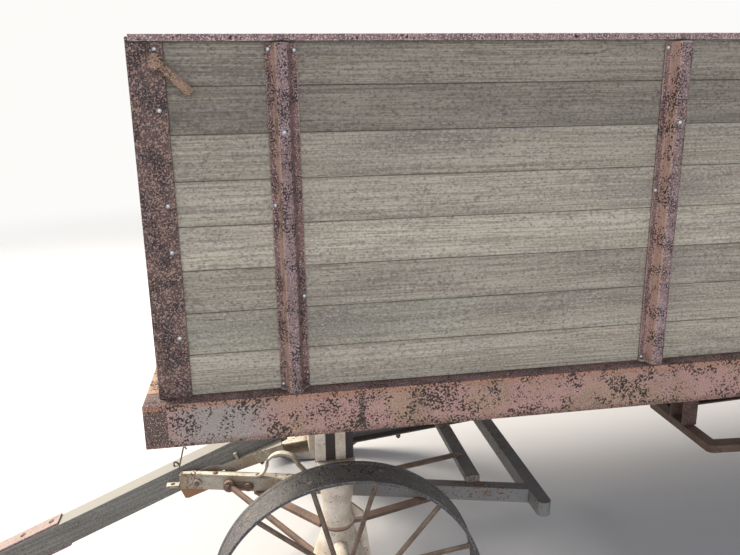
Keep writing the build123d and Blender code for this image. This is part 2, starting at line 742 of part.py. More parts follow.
with BuildPart() as level_bars:
    with BuildSketch(Plane.XY.offset(HOUND_BOTTOM_Z)):
        with Locations((AXLE_X + HOUND_TAIL_X - REAR_CROSS_W / 2, 0)):
            SlotOverall(2 * REAR_CROSS_HALF, REAR_CROSS_W, rotation=90)
    extrude(amount=HOUND_H)
    block(
        AXLE_X + SWAY_X - SWAY_W / 2,
        AXLE_X + SWAY_X + SWAY_W / 2,
        -SWAY_HALF,
        SWAY_HALF,
        HOUND_TOP_Z,
        HOUND_TOP_Z + SWAY_H,
    )
with BuildPart() as hound_cross_bars:
    add(level_bars.part.rotate(TILT_AXIS, HOUND_TILT_DEG))
keep("hound_cross_bars", hound_cross_bars)

# Bow irons: a flat bar along the top of each hound that rises in a hoop beside the tongue's tail
with BuildPart() as level_bows:
    for _, side in SIDES:
        lean = radians(side * HOUND_FLARE_DEG)
        along = Vector(-cos(lean), sin(lean), 0)
        start = Vector(AXLE_X + BOW_START_X, side * (hound_outer(BOW_START_X) - BOW_INSET / 2), HOUND_TOP_Z)
        rise = (BOW_START_X - BOW_RISE_X) / cos(lean)
        fall = (BOW_START_X - BOW_FALL_X) / cos(lean)
        hoop = (fall - rise) / 2
        with BuildSketch(Plane(origin=start, x_dir=along, z_dir=along.cross(Vector(0, 0, 1)))):
            with BuildLine() as low_line:
                Line((0, BOW_THICK / 2), (rise - hoop / 2, BOW_THICK / 2))
                ThreePointArc(
                    (rise - hoop / 2, BOW_THICK / 2),
                    (rise - hoop * 0.12, BOW_H * 0.14),
                    (rise + hoop * 0.1, BOW_H * 0.55),
                )
                ThreePointArc(
                    (rise + hoop * 0.1, BOW_H * 0.55),
                    (rise + hoop * 0.8, BOW_H - BOW_THICK / 2),
                    (rise + hoop * 1.5, BOW_H * 0.55),
                )
                Line((rise + hoop * 1.5, BOW_H * 0.55), (fall, BOW_THICK * 1.5))
            trace(line_width=BOW_THICK)
        extrude(amount=BOW_W / 2, both=True)
    block(
        AXLE_X + BOW_RISE_X,
        AXLE_X + HOUND_NOSE_X,
        -JAW_INNER,
        JAW_INNER,
        HOUND_TOP_Z,
        HOUND_TOP_Z + BOW_THICK,
        Mode.SUBTRACT,
    )
    add(level_hounds.part, mode=Mode.SUBTRACT)
with BuildPart() as bow_irons:
    add(level_bows.part.rotate(TILT_AXIS, HOUND_TILT_DEG))
keep("bow_irons", bow_irons)

# Braces tie the columns to the underside of the hounds; rods and stays help
BRACE_TOP_Z = HOUND_TOP_Z + BOW_THICK + BRACE_THICK / 2
BRACE_FOOT_Z = HOUND_BOTTOM_Z - BRACE_FOOT_DROP
BRACES = (  # x of the foot ahead of the axle, way along x
    (BRACE_FRONT_X, 1),
    (BRACE_BACK_X, -1),
)
with BuildPart() as hound_braces:
    for _, side in SIDES:
        for x, way in BRACES:
            foot_z = BRACE_FOOT_Z + x * HOUND_RISE
            start = (AXLE_X + x, side * (hound_outer(x) - BRACE_INSET), foot_z)
            end_x = AXLE_X + way * (AXLE_BAR + BRACE_W) / 2
            end = (end_x, side * (COLUMN_Y - COLUMN_WAIST_R / 2), BRACE_TOP_Z)
            flat_bar(start, end, BRACE_W, BRACE_THICK)
        bolt_y = hound_outer(ROD_X)
        bolt_z = HOUND_BOTTOM_Z + HOUND_H / 2 + ROD_X * HOUND_RISE
        start = (AXLE_X + ROD_X, side * (bolt_y + ROD_R), bolt_z)
        rod(start, (AXLE_X + COLUMN_FOOT_R * 0.6, side * COLUMN_Y, ROD_FOOT_Z), ROD_R)
        rod((start[0], side * bolt_y, start[2]), (start[0], side * (bolt_y + 2 * ROD_R), start[2]), 2 * ROD_R)
        stay_z = HOUND_TOP_Z + SWAY_H + SWAY_X * HOUND_RISE
        stay_foot = (AXLE_X + SWAY_X, side * STAY_Y, stay_z)
        flat_bar((AXLE_X - COLUMN_R / 2, side * COLUMN_Y, STAY_TOP_Z), stay_foot, STAY_W, STAY_THICK)
    for neighbour in (columns["front"], hound_cross_bars.part, front_hounds.part, bow_irons.part):
        add(neighbour, mode=Mode.SUBTRACT)
keep("hound_braces", hound_braces)

with BuildPart() as tongue_pin:
    head = hound_outer(TONGUE_PIN_X - TONGUE_PIN_HEAD_R)
    pin_at = AXLE_X + TONGUE_PIN_X
    rod((pin_at, -head, TONGUE_PIN_Z), (pin_at, head, TONGUE_PIN_Z), TONGUE_PIN_R)
    for _, side in SIDES:
        head_end = side * (head + TONGUE_PIN_HEAD_L)
        rod((pin_at, side * head, TONGUE_PIN_Z), (pin_at, head_end, TONGUE_PIN_Z), TONGUE_PIN_HEAD_R)
keep("tongue_pin", tongue_pin)

# Tongue, drawn in its own side view: u forward along it from the pin, w square to it
TONGUE_VIEW = Plane(
    origin=(AXLE_X + TONGUE_PIN_X, 0, TONGUE_PIN_Z),
    x_dir=(cos(TONGUE_DROP), 0, -sin(TONGUE_DROP)),
    z_dir=(0, -1, 0),
)
PIN_HOLE_R = TONGUE_PIN_R + KING_BOLT_GAP


def tongue_top(u):
    """Height of the tongue's upper face at a distance ahead of the pin."""
    return TONGUE_TOP + (TONGUE_TIP_TOP - TONGUE_TOP) * u / TONGUE_END


def tongue_bottom(u):
    """Height of the tongue's lower face at a distance ahead of the pin."""
    return TONGUE_BOTTOM + (TONGUE_TIP_BOTTOM - TONGUE_BOTTOM) * u / TONGUE_END


with BuildPart() as tongue_pole:
    with BuildSketch(TONGUE_VIEW):
        with BuildLine():
            Polyline(
                (TONGUE_TAIL, tongue_bottom(TONGUE_TAIL)),
                (TONGUE_TAIL, tongue_top(TONGUE_TAIL)),
                (TONGUE_END, TONGUE_TIP_TOP),
                (TONGUE_END, TONGUE_TIP_BOTTOM),
                close=True,
            )
        make_face()
        Circle(PIN_HOLE_R, mode=Mode.SUBTRACT)
    extrude(amount=TONGUE_W / 2, both=True)
keep("tongue_pole", tongue_pole)

with BuildPart() as hitch_straps:
    for start_w, end_w in (
        (tongue_top(STRAP_START), TONGUE_TIP_TOP),
        (tongue_bottom(STRAP_START) - STRAP_THICK, TONGUE_TIP_BOTTOM - STRAP_THICK),
    ):
        with BuildSketch(TONGUE_VIEW):
            with BuildLine():
                Polyline(
                    (STRAP_START, start_w),
                    (TONGUE_END, end_w),
                    (STRAP_TIP, end_w),
                    (STRAP_TIP, end_w + STRAP_THICK),
                    (TONGUE_END, end_w + STRAP_THICK),
                    (STRAP_START, start_w + STRAP_THICK),
                    close=True,
                )
            make_face()
        extrude(amount=STRAP_W / 2, both=True)
    hitch = TONGUE_VIEW.from_local_coords(Vector(STRAP_TIP - HITCH_EDGE, STRAP_LOW - 1, 0))
    hitch_top = TONGUE_VIEW.from_local_coords(Vector(STRAP_TIP - HITCH_EDGE, STRAP_HIGH + 1, 0))
    rod(hitch, hitch_top, HITCH_HOLE_R, Mode.SUBTRACT)
keep("hitch_straps", hitch_straps)

with BuildPart() as side_irons:
    for _, side in SIDES:
        inner = side * TONGUE_W / 2
        outer = inner + side * SIDE_IRON_THICK
        flange = outer + side * SIDE_IRON_FLANGE
        with BuildSketch(TONGUE_VIEW.offset(-inner)):
            with BuildLine():
                Polyline(
                    (SIDE_IRON_FRONT, SIDE_IRON_BOTTOM),
                    (SIDE_IRON_FRONT, SIDE_IRON_HIGH),
                    (SIDE_IRON_STEP, SIDE_IRON_HIGH),
                    (SIDE_IRON_FLARE_START, SIDE_IRON_TOP),
                    (SIDE_IRON_BACK, SIDE_IRON_TOP),
                    (SIDE_IRON_BACK, SIDE_IRON_TAIL_BOTTOM),
                    close=True,
                )
            make_face()
            Circle(PIN_HOLE_R, mode=Mode.SUBTRACT)
        extrude(amount=-side * SIDE_IRON_THICK)
        shelf = Plane(
            origin=TONGUE_VIEW.from_local_coords(Vector(0, SIDE_IRON_TOP, 0)),
            x_dir=TONGUE_VIEW.x_dir,
            z_dir=TONGUE_VIEW.y_dir,
        )
        with BuildSketch(shelf):
            with BuildLine():
                Polyline(
                    (SIDE_IRON_FLARE_START, outer),
                    (SIDE_IRON_BACK, outer),
                    (SIDE_IRON_BACK, flange),
                    close=True,
                )
            make_face()
        extrude(amount=-SIDE_IRON_THICK)
        with BuildSketch(shelf):
            with BuildLine():
                Polyline(
                    (SIDE_IRON_FLARE_START, outer),
                    (SIDE_IRON_BACK, flange),
                    (SIDE_IRON_BACK, flange - side * SIDE_IRON_THICK),
                    (SIDE_IRON_FLARE_START - SIDE_IRON_LEG_RUN, outer),
                    close=True,
                )
            make_face()
        extrude(amount=-SIDE_IRON_LEG)
    peg_y = TONGUE_W / 2 + SIDE_IRON_THICK + PEG_R
    foot = shelf.from_local_coords(Vector(PEG_U, peg_y, 0))
    head_low = shelf.from_local_coords(Vector(PEG_U, peg_y, PEG_RISE))
    head_top = shelf.from_local_coords(Vector(PEG_U, peg_y, PEG_RISE + PEG_HEAD_H))
    rod(foot, head_low, PEG_R)
    rod(head_low, head_top, PEG_HEAD_R)
keep("side_irons", side_irons)


# Rear hounds: a bent frame from the rear axle forward to the reach
def rear_hound_outer(x):
    """How far the rear frame's outer face is from the centre line, x mm ahead of the rear axle."""
    share = (REAR_HOUND_FRONT - x) / (REAR_HOUND_FRONT + REAR_HOUND_BACK)
    return REAR_HOUND_FRONT_Y + (REAR_HOUND_BACK_Y - REAR_HOUND_FRONT_Y) * share


REAR_HOUND_TOP_Z = REAR_BEAM_Z - AXLE_BAR / 2
with BuildPart() as rear_hounds:
    front = REAR_HOUND_FRONT
    back = -REAR_HOUND_BACK
    for depth, low, high, mode in (
        (REAR_HOUND_W, 0, REAR_HOUND_H, Mode.ADD),
        (REAR_HOUND_WALL, REAR_HOUND_WALL, REAR_HOUND_H - REAR_HOUND_WALL, Mode.SUBTRACT),
    ):
        with BuildSketch(Plane.XY.offset(REAR_HOUND_TOP_Z - REAR_HOUND_H + low)):
            if mode == Mode.ADD:
                outer_edge, cut = 0, depth
            else:
                outer_edge, cut = depth, REAR_HOUND_W
            with BuildLine():
                Polyline(
                    (REAR_X + back, rear_hound_outer(back) - outer_edge),
                    (REAR_X + front - outer_edge, rear_hound_outer(front) - outer_edge),
                    (REAR_X + front - outer_edge, -rear_hound_outer(front) + outer_edge),
                    (REAR_X + back, -rear_hound_outer(back) + outer_edge),
                    (REAR_X + back, -rear_hound_outer(back) + cut),
                    (REAR_X + front - cut, -rear_hound_outer(front) + cut),
                    (REAR_X + front - cut, rear_hound_outer(front) - cut),
                    (REAR_X + back, rear_hound_outer(back) - cut),
                    close=True,
                )
            make_face()
        extrude(amount=high - low, mode=mode)
    fillet(rear_hounds.edges().filter_by(Axis.Z).group_by(Axis.X)[-1], REAR_HOUND_W / 2)
keep("rear_hounds", rear_hounds)

with BuildPart() as reach_clamp:
    clamp_x = REAR_X + REAR_HOUND_FRONT - REAR_HOUND_W / 2
    wall = REACH_CLAMP_THICK
    block(
        clamp_x - REACH_CLAMP_W / 2,
        clamp_x + REACH_CLAMP_W / 2,
        -REACH_W / 2 - wall,
        REACH_W / 2 + wall,
        REAR_HOUND_TOP_Z,
        REACH_Z + REACH_H + wall,
    )
    block(
        clamp_x - REACH_CLAMP_W / 2,
        clamp_x + REACH_CLAMP_W / 2,
        -REACH_W / 2,
        REACH_W / 2,
        REAR_HOUND_TOP_Z + wall,
        REACH_Z - wall,
        Mode.SUBTRACT,
    )
    block(
        clamp_x - REACH_CLAMP_W / 2,
        clamp_x + REACH_CLAMP_W / 2,
        -REACH_W / 2,
        REACH_W / 2,
        REACH_Z,
        REACH_Z + REACH_H,
        Mode.SUBTRACT,
    )
keep("reach_clamp", reach_clamp)

# Rear gate with battens, and the hinge lugs and pins on the rear sill
GATE_INNER_X = BACK_X - GATE_BACK_GAP
GATE_OUTER_X = GATE_INNER_X - GATE_THICK
HINGE_X = BACK_X - HINGE_AXIS_OUT
HINGE_Z = SILL_TOP_Z + GATE_HINGE_RISE
GATE_LOW_Z = SILL_TOP_Z + GATE_BOTTOM_GAP
GATE_HIGH_Z = WALL_TOP_Z - GATE_TOP_GAP
with BuildPart() as gate_boards:
    block(GATE_OUTER_X, GATE_INNER_X, -BOX_W / 2, BOX_W / 2, GATE_LOW_Z, GATE_HIGH_Z)
    for i in range(1, BOARDS):
        seam = SILL_TOP_Z + i * BOARD_W
        for face, inward in ((GATE_OUTER_X, 1), (GATE_INNER_X, -1)):
            block(
                face,
                face + inward * BOARD_GROOVE_DEPTH,
                -BOX_W / 2,
                BOX_W / 2,
                seam - BOARD_GROOVE / 2,
                seam + BOARD_GROOVE / 2,
                Mode.SUBTRACT,
            )
keep("gate_boards", gate_boards)

with BuildPart() as gate_battens:
    batten_x = GATE_OUTER_X - GATE_BATTEN_T
    for y in GATE_BATTEN_Y:
        block(batten_x, GATE_OUTER_X, y - GATE_BATTEN_W / 2, y + GATE_BATTEN_W / 2, GATE_LOW_Z, GATE_HIGH_Z)
    for y in GATE_HINGE_Y:
        low_y = y - GATE_BATTEN_W / 2
        high_y = y + GATE_BATTEN_W / 2
        block(HINGE_X, batten_x, low_y, high_y, HINGE_Z, HINGE_Z + GATE_HINGE_R)
        ends = (HINGE_X, low_y, HINGE_Z), (HINGE_X, high_y, HINGE_Z)
        rod(*ends, GATE_HINGE_R)
        rod(*ends, GATE_HINGE_PIN_R + RUNNING_GAP, Mode.SUBTRACT)
keep("gate_battens", gate_battens)

with BuildPart() as gate_lugs:
    sill_face = BACK_X - SILL_LEDGE
    for y in GATE_HINGE_Y:
        for way in (-1, 1):
            near = y + way * (GATE_BATTEN_W / 2 + GATE_LUG_GAP)
            far = near + way * GATE_LUG_THICK
            block(HINGE_X - GATE_HINGE_R, sill_face, near, far, HINGE_Z - GATE_LUG_DROP, HINGE_Z)
            rod((HINGE_X, near, HINGE_Z), (HINGE_X, far, HINGE_Z), GATE_HINGE_R)
        grip = GATE_BATTEN_W / 2 + GATE_LUG_GAP + GATE_LUG_THICK
        rod((HINGE_X, y - grip, HINGE_Z), (HINGE_X, y + grip, HINGE_Z), GATE_HINGE_PIN_R)
keep("gate_lugs", gate_lugs)

# Wheels: a beaded steel rim, round spokes staggered between the two hub flanges, and a cast hub with a cap
for name, x, side, radius in WHEELS:
    middle = side * TRACK / 2
    half = RIM_WIDTH / 2
    inside = radius - RIM_THICK
    face = Plane(origin=(x, middle, radius), x_dir=(0, 1, 0), z_dir=(1, 0, 0))
    turn = Axis((x, middle, radius), (0, 1, 0))
    with BuildPart() as rim:
        with BuildSketch(face):
            with BuildLine():
                Polyline(
                    (-half, inside),
                    (-half, radius),
                    (-half + RIM_BEAD_WIDTH, radius),
                    (-half + RIM_BEAD_WIDTH + RIM_BEAD, radius - RIM_BEAD),
                    (half - RIM_BEAD_WIDTH - RIM_BEAD, radius - RIM_BEAD),
                    (half - RIM_BEAD_WIDTH, radius),
                    (half, radius),
                    (half, inside),
                    close=True,
                )
            make_face()
        revolve(axis=turn)
    keep(f"{name}_rim", rim)

    with BuildPart() as spokes:
        hub_half = HUB_LENGTH / 2
        for i in range(SPOKES):
            angle = radians(360 / SPOKES * (i + 0.5))
            way = -side if i % 2 else side
            foot_y = middle + way * (hub_half - SPOKE_INSET - HUB_FLANGE_THICK / 2)
            tip_y = middle + way * half / 4
            foot = (x + HUB_R * sin(angle), foot_y, radius + HUB_R * cos(angle))
            tip = (x + radius * sin(angle), tip_y, radius + radius * cos(angle))
            rod(foot, tip, SPOKE_R)
        rod((x, middle - hub_half, radius), (x, middle + hub_half, radius), inside, Mode.INTERSECT)
        rod((x, middle - hub_half, radius), (x, middle + hub_half, radius), HUB_R)
        for way in (-1, 1):
            flange = middle + way * (hub_half - SPOKE_INSET)
            rod((x, flange, radius), (x, flange - way * HUB_FLANGE_THICK, radius), HUB_FLANGE_R)
        cap = middle + side * hub_half
        rod((x, cap, radius), (x, cap + side * HUB_CAP_LENGTH, radius), HUB_CAP_R)
        bore_end = cap + side * HUB_END_GAP
        bore_start = middle - side * hub_half
        rod((x, bore_start, radius), (x, bore_end, radius), SPINDLE_R + RUNNING_GAP, Mode.SUBTRACT)
    keep(f"{name}_spokes", spokes)

os.makedirs("parts", exist_ok=True)
for name, piece in pieces.items():
    export_step(piece, f"parts/{name}.step")
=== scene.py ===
"""Looks of a four-wheeled hay wagon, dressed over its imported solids.

Metres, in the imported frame: +X is forward, +Y is the wagon's left, +Z is up and the ground is z = 0. Boards, floor
planks and rolled stakes stand for their plain solids. The other solids keep their shape and get eased edges, a
finish and the small fittings that the solids leave out.
"""

import logging
from collections.abc import Sequence
from dataclasses import dataclass, field, replace
from enum import Enum
from functools import cache
from math import cos, pi, radians, sin, tan, tau
from random import Random

import bmesh
import bpy
from mathutils import Matrix, Vector, noise


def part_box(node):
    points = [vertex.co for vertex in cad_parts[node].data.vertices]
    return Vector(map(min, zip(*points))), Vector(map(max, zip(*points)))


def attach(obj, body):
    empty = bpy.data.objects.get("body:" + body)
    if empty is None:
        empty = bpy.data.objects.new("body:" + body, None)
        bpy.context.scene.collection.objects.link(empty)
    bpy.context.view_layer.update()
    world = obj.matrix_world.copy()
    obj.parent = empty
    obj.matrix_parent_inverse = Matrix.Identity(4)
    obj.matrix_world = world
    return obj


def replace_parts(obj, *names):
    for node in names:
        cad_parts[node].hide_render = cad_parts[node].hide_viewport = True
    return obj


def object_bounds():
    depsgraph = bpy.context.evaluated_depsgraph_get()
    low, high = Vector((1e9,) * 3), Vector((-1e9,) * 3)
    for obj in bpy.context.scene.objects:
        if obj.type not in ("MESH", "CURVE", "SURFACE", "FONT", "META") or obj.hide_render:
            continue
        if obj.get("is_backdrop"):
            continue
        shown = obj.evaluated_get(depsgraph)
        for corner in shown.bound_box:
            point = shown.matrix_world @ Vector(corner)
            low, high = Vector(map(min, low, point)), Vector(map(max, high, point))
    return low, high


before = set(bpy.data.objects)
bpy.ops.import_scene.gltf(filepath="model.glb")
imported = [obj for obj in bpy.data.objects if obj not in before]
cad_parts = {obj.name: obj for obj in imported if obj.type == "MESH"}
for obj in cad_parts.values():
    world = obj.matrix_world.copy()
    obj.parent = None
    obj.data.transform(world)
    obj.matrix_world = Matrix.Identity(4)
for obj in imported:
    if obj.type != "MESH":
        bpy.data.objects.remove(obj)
CAD_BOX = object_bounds()

LOG = logging.getLogger("hay_wagon")
MM = 0.001
UP = Vector((0, 0, 1))
FORWARD = Vector((1, 0, 0))
Pieces = list[bpy.types.Object]
Section = list[tuple[float, float]]
Place = tuple[float, float, float]


class Slot(Enum):
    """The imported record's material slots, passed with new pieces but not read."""

    BOARDS = "weathered_boards"
    FLOOR = "floor_boards"
    IRON = "rusty_iron"
    BROWN = "brown_iron"
    WHEEL = "wheel_steel"


class Side(Enum):
    """The wagon's two sides, as the sign of Y."""

    LEFT = 1
    RIGHT = -1

    @property
    def out(self) -> Vector:
        """Direction away from the wagon on this side."""
        return Vector((0, self.value, 0))


# Shaders


def linear(code: str) -> tuple[float, float, float, float]:
    """Turn an sRGB hex colour into linear light.

    Args:
        code: Six hex digits after a hash sign.

    Returns:
        Linear red, green, blue and an alpha of 1.
    """
    shares = [int(code[i : i + 2], 16) / 255 for i in (1, 3, 5)]
    red, green, blue = (s / 12.92 if s <= 0.04045 else ((s + 0.055) / 1.055) ** 2.4 for s in shares)
    return red, green, blue, 1.0


@dataclass
class Shader:
    """The node tree of a material or the sky, grown from an empty one.

    Attributes:
        owner: The material or the sky.
        colour: Colour laid on so far, as hex or as a node.
    """

    owner: bpy.types.Material | bpy.types.World
    colour: str | bpy.types.Node = ""

    def __post_init__(self) -> None:
        """Empty the tree."""
        self.owner.use_nodes = True
        self.owner.node_tree.nodes.clear()

    def add(self, kind: str, inputs: dict | None = None, **settings: object) -> bpy.types.Node:
        """Add a node, set its properties and fill its inputs.

        Args:
            kind: Type of the node, without its common first word.
            inputs: Socket name or number against a number, a hex colour, a socket, or a node to link from.
            **settings: Properties of the node.

        Returns:
            The new node.
        """
        made = self.owner.node_tree.nodes.new(f"ShaderNode{kind}")
        for name, value in settings.items():
            setattr(made, name, value)
        for key, value in (inputs or {}).items():
            if isinstance(value, bpy.types.Node):
                value = next(output for output in value.outputs if output.enabled)
            if isinstance(value, bpy.types.NodeSocket):
                self.owner.node_tree.links.new(value, made.inputs[key])
            else:
                made.inputs[key].default_value = linear(value) if isinstance(value, str) else value
        return made

    def lay(self, *coats: tuple) -> None:
        """Lay colours over the colour so far, each as far as its field has gone from one value to another.

        Args:
            *coats: For each coat its field, the values where it starts and is full, its strength and its colour.
        """
        for spread, start, full, strength, colour in coats:
            share = self.add("MapRange", {0: spread, 1: start, 2: full, 4: strength})
            self.colour = self.add("Mix", {0: share, 6: self.colour, 7: colour}, data_type="RGBA")


@dataclass(frozen=True)
class Wood:
    """Sawn wood left outdoors: grey fibres, late-wood lines, drying cracks, stains, raised grain and painted sunlight
    on faces that look up.

    Attributes:
        name: Name of the real wood and its making.
        shade: Colour between the fibres.
        face: Colour of the weathered fibres.
        pale: Colour of the brightest worn fibres.
        stain: Colour of the damp stains.
        tinge: Colour of the broad areas where algae or heartwood show.
        turn: Rotation in degrees that brings the grain onto X.
        fibre: Width of a fibre bundle.
        late_wood: Width of a late-wood band.
        stain_share: How much of the face is stained, from 0 to 1.
        cracked: How common drying cracks are, from 0 to 1.
        saw_marks: Strength of the marks left across the grain by the saw.
        bleach: Colour of the painted sunlight on the faces that look up.
        top_light_and_dust_share: How strongly those faces take the painted sunlight.
        relief: Height of the raised grain.
    """

    name: str
    shade: str
    face: str
    pale: str
    stain: str
    tinge: str
    turn: tuple[float, float, float] = (0, 0, 0)
    fibre: float = 2.2 * MM
    late_wood: float = 8 * MM
    stain_share: float = 0.35
    cracked: float = 0.5
    saw_marks: float = 0.3
    bleach: str = "#a19f9a"
    top_light_and_dust_share: float = 0.0
    relief: float = 0.5 * MM

    @cache
    def build(self) -> bpy.types.Material:
        """Make the material, once.

        Returns:
            Wood whose grain is worked out in metres along each board.
        """
        shader = Shader(bpy.data.materials.new(self.name), self.shade)
        add = shader.add
        coords = add("TexCoord").outputs
        seed, tone = (add("Attribute", attribute_name=name).outputs["Fac"] for name in ("seed", "tone"))
        turned = add("Mapping", {0: coords["Object"], 2: [radians(a) for a in self.turn]})
        apart = add("VectorMath", {0: (37.1, 11.3, 5.7), 3: seed}, operation="SCALE")
        grain = add("VectorMath", {0: turned, 1: apart}, operation="ADD")

        # The grain runs straight, with a slow waver of a few millimetres
        waver_at = add("VectorMath", {0: grain, 1: (1.1, 2.5, 2.5)}, operation="MULTIPLY")
        waver = add("TexNoise", {0: waver_at, "Scale": 1.0, "Detail": 0.0})
        sway = add("VectorMath", {0: (0, 0.03, 0.03), 3: waver}, operation="SCALE")
        grain = add("VectorMath", {0: grain, 1: sway}, operation="ADD")

        # Real fibres are too fine to show, so they are drawn in bundles, 60 times as long as they are wide. Late wood
        # comes in broader bands, stains run along the board with specks of mould in them, and drying cracks are
        # hair-thin and a hand long
        fine, broad = 1 / self.fibre, 1 / self.late_wood
        patterns = (  # marks in a metre along, across and through the board, detail, roughness
            ((fine / 60, fine, fine), 3.0, 0.5),
            ((0.7, broad, broad), 3.0, 0.5),
            ((2.2, 11, 12), 6.0, 0.62),
            ((160, 250, 250), 4.0, 0.7),
            ((9, 210, 210), 1.0, 0.5),
            ((330, 14, 14), 1.0, 0.5),
        )
        fields = []
        for stretch, detail, rough in patterns:
            at = add("VectorMath", {0: grain, 1: stretch}, operation="MULTIPLY")
            fields.append(add("TexNoise", {0: at, "Scale": 1.0, "Detail": detail, "Roughness": rough}))
        fibre, lines, patch, mould, splits, saw = fields
        edge, start = 0.72 - 0.4 * self.stain_share, 0.8 - 0.06 * self.cracked
        stained = add("MapRange", {0: patch, 1: edge - 0.08, 2: edge + 0.14})
        soak = add("Math", {0: stained, 1: mould}, operation="MULTIPLY")
        crack = add("MapRange", {0: splits, 1: start, 2: start + 0.04})
        lift = add("SeparateXYZ", {0: coords["Normal"]}).outputs[2]
        shader.lay(
            (fibre, 0.38, 0.62, 1.0, self.face),
            (waver, 0.45, 0.7, 0.55, self.tinge),
            (lines, 0.48, 0.66, 0.4, self.pale),
            (lines, 0.4, 0.3, 0.5, self.shade),
            (soak, 0.0, 1 / 1.1, 1.0, self.stain),
            (mould, 0.46, 0.34, 0.55, self.pale),
            (mould, 0.53, 0.66, 0.95, self.stain),
            (crack, 0.0, 1.0, 0.75, "#2b2521"),
            # Faces that look up get painted sunlight
            (lift, 0.6, 0.9, self.top_light_and_dust_share, self.bleach),
        )
        level = add("MapRange", {0: tone, 1: -0.5, 2: 0.5, 3: 0.66, 4: 1.34})
        colour = add("VectorMath", {0: shader.colour, 3: level}, operation="SCALE")

        # Raised grain, cracks and the saw's marks across the grain
        height = add("Math", {0: saw, 1: self.saw_marks, 2: fibre}, operation="MULTIPLY_ADD")
        height = add("Math", {0: height, 1: lines}, operation="ADD")
        height = add("Math", {0: height, 1: crack}, operation="SUBTRACT")
        bump = add("Bump", {"Height": height, "Distance": self.relief, "Strength": 0.7})
        rough = add("MapRange", {0: fibre, 3: 0.93, 4: 0.76})
        look = {"Base Color": colour, "Roughness": rough, "Normal": bump, "IOR": 1.53, "Specular IOR Level": 0.3}
        add("OutputMaterial", {0: add("BsdfPrincipled", look)})
        return shader.owner


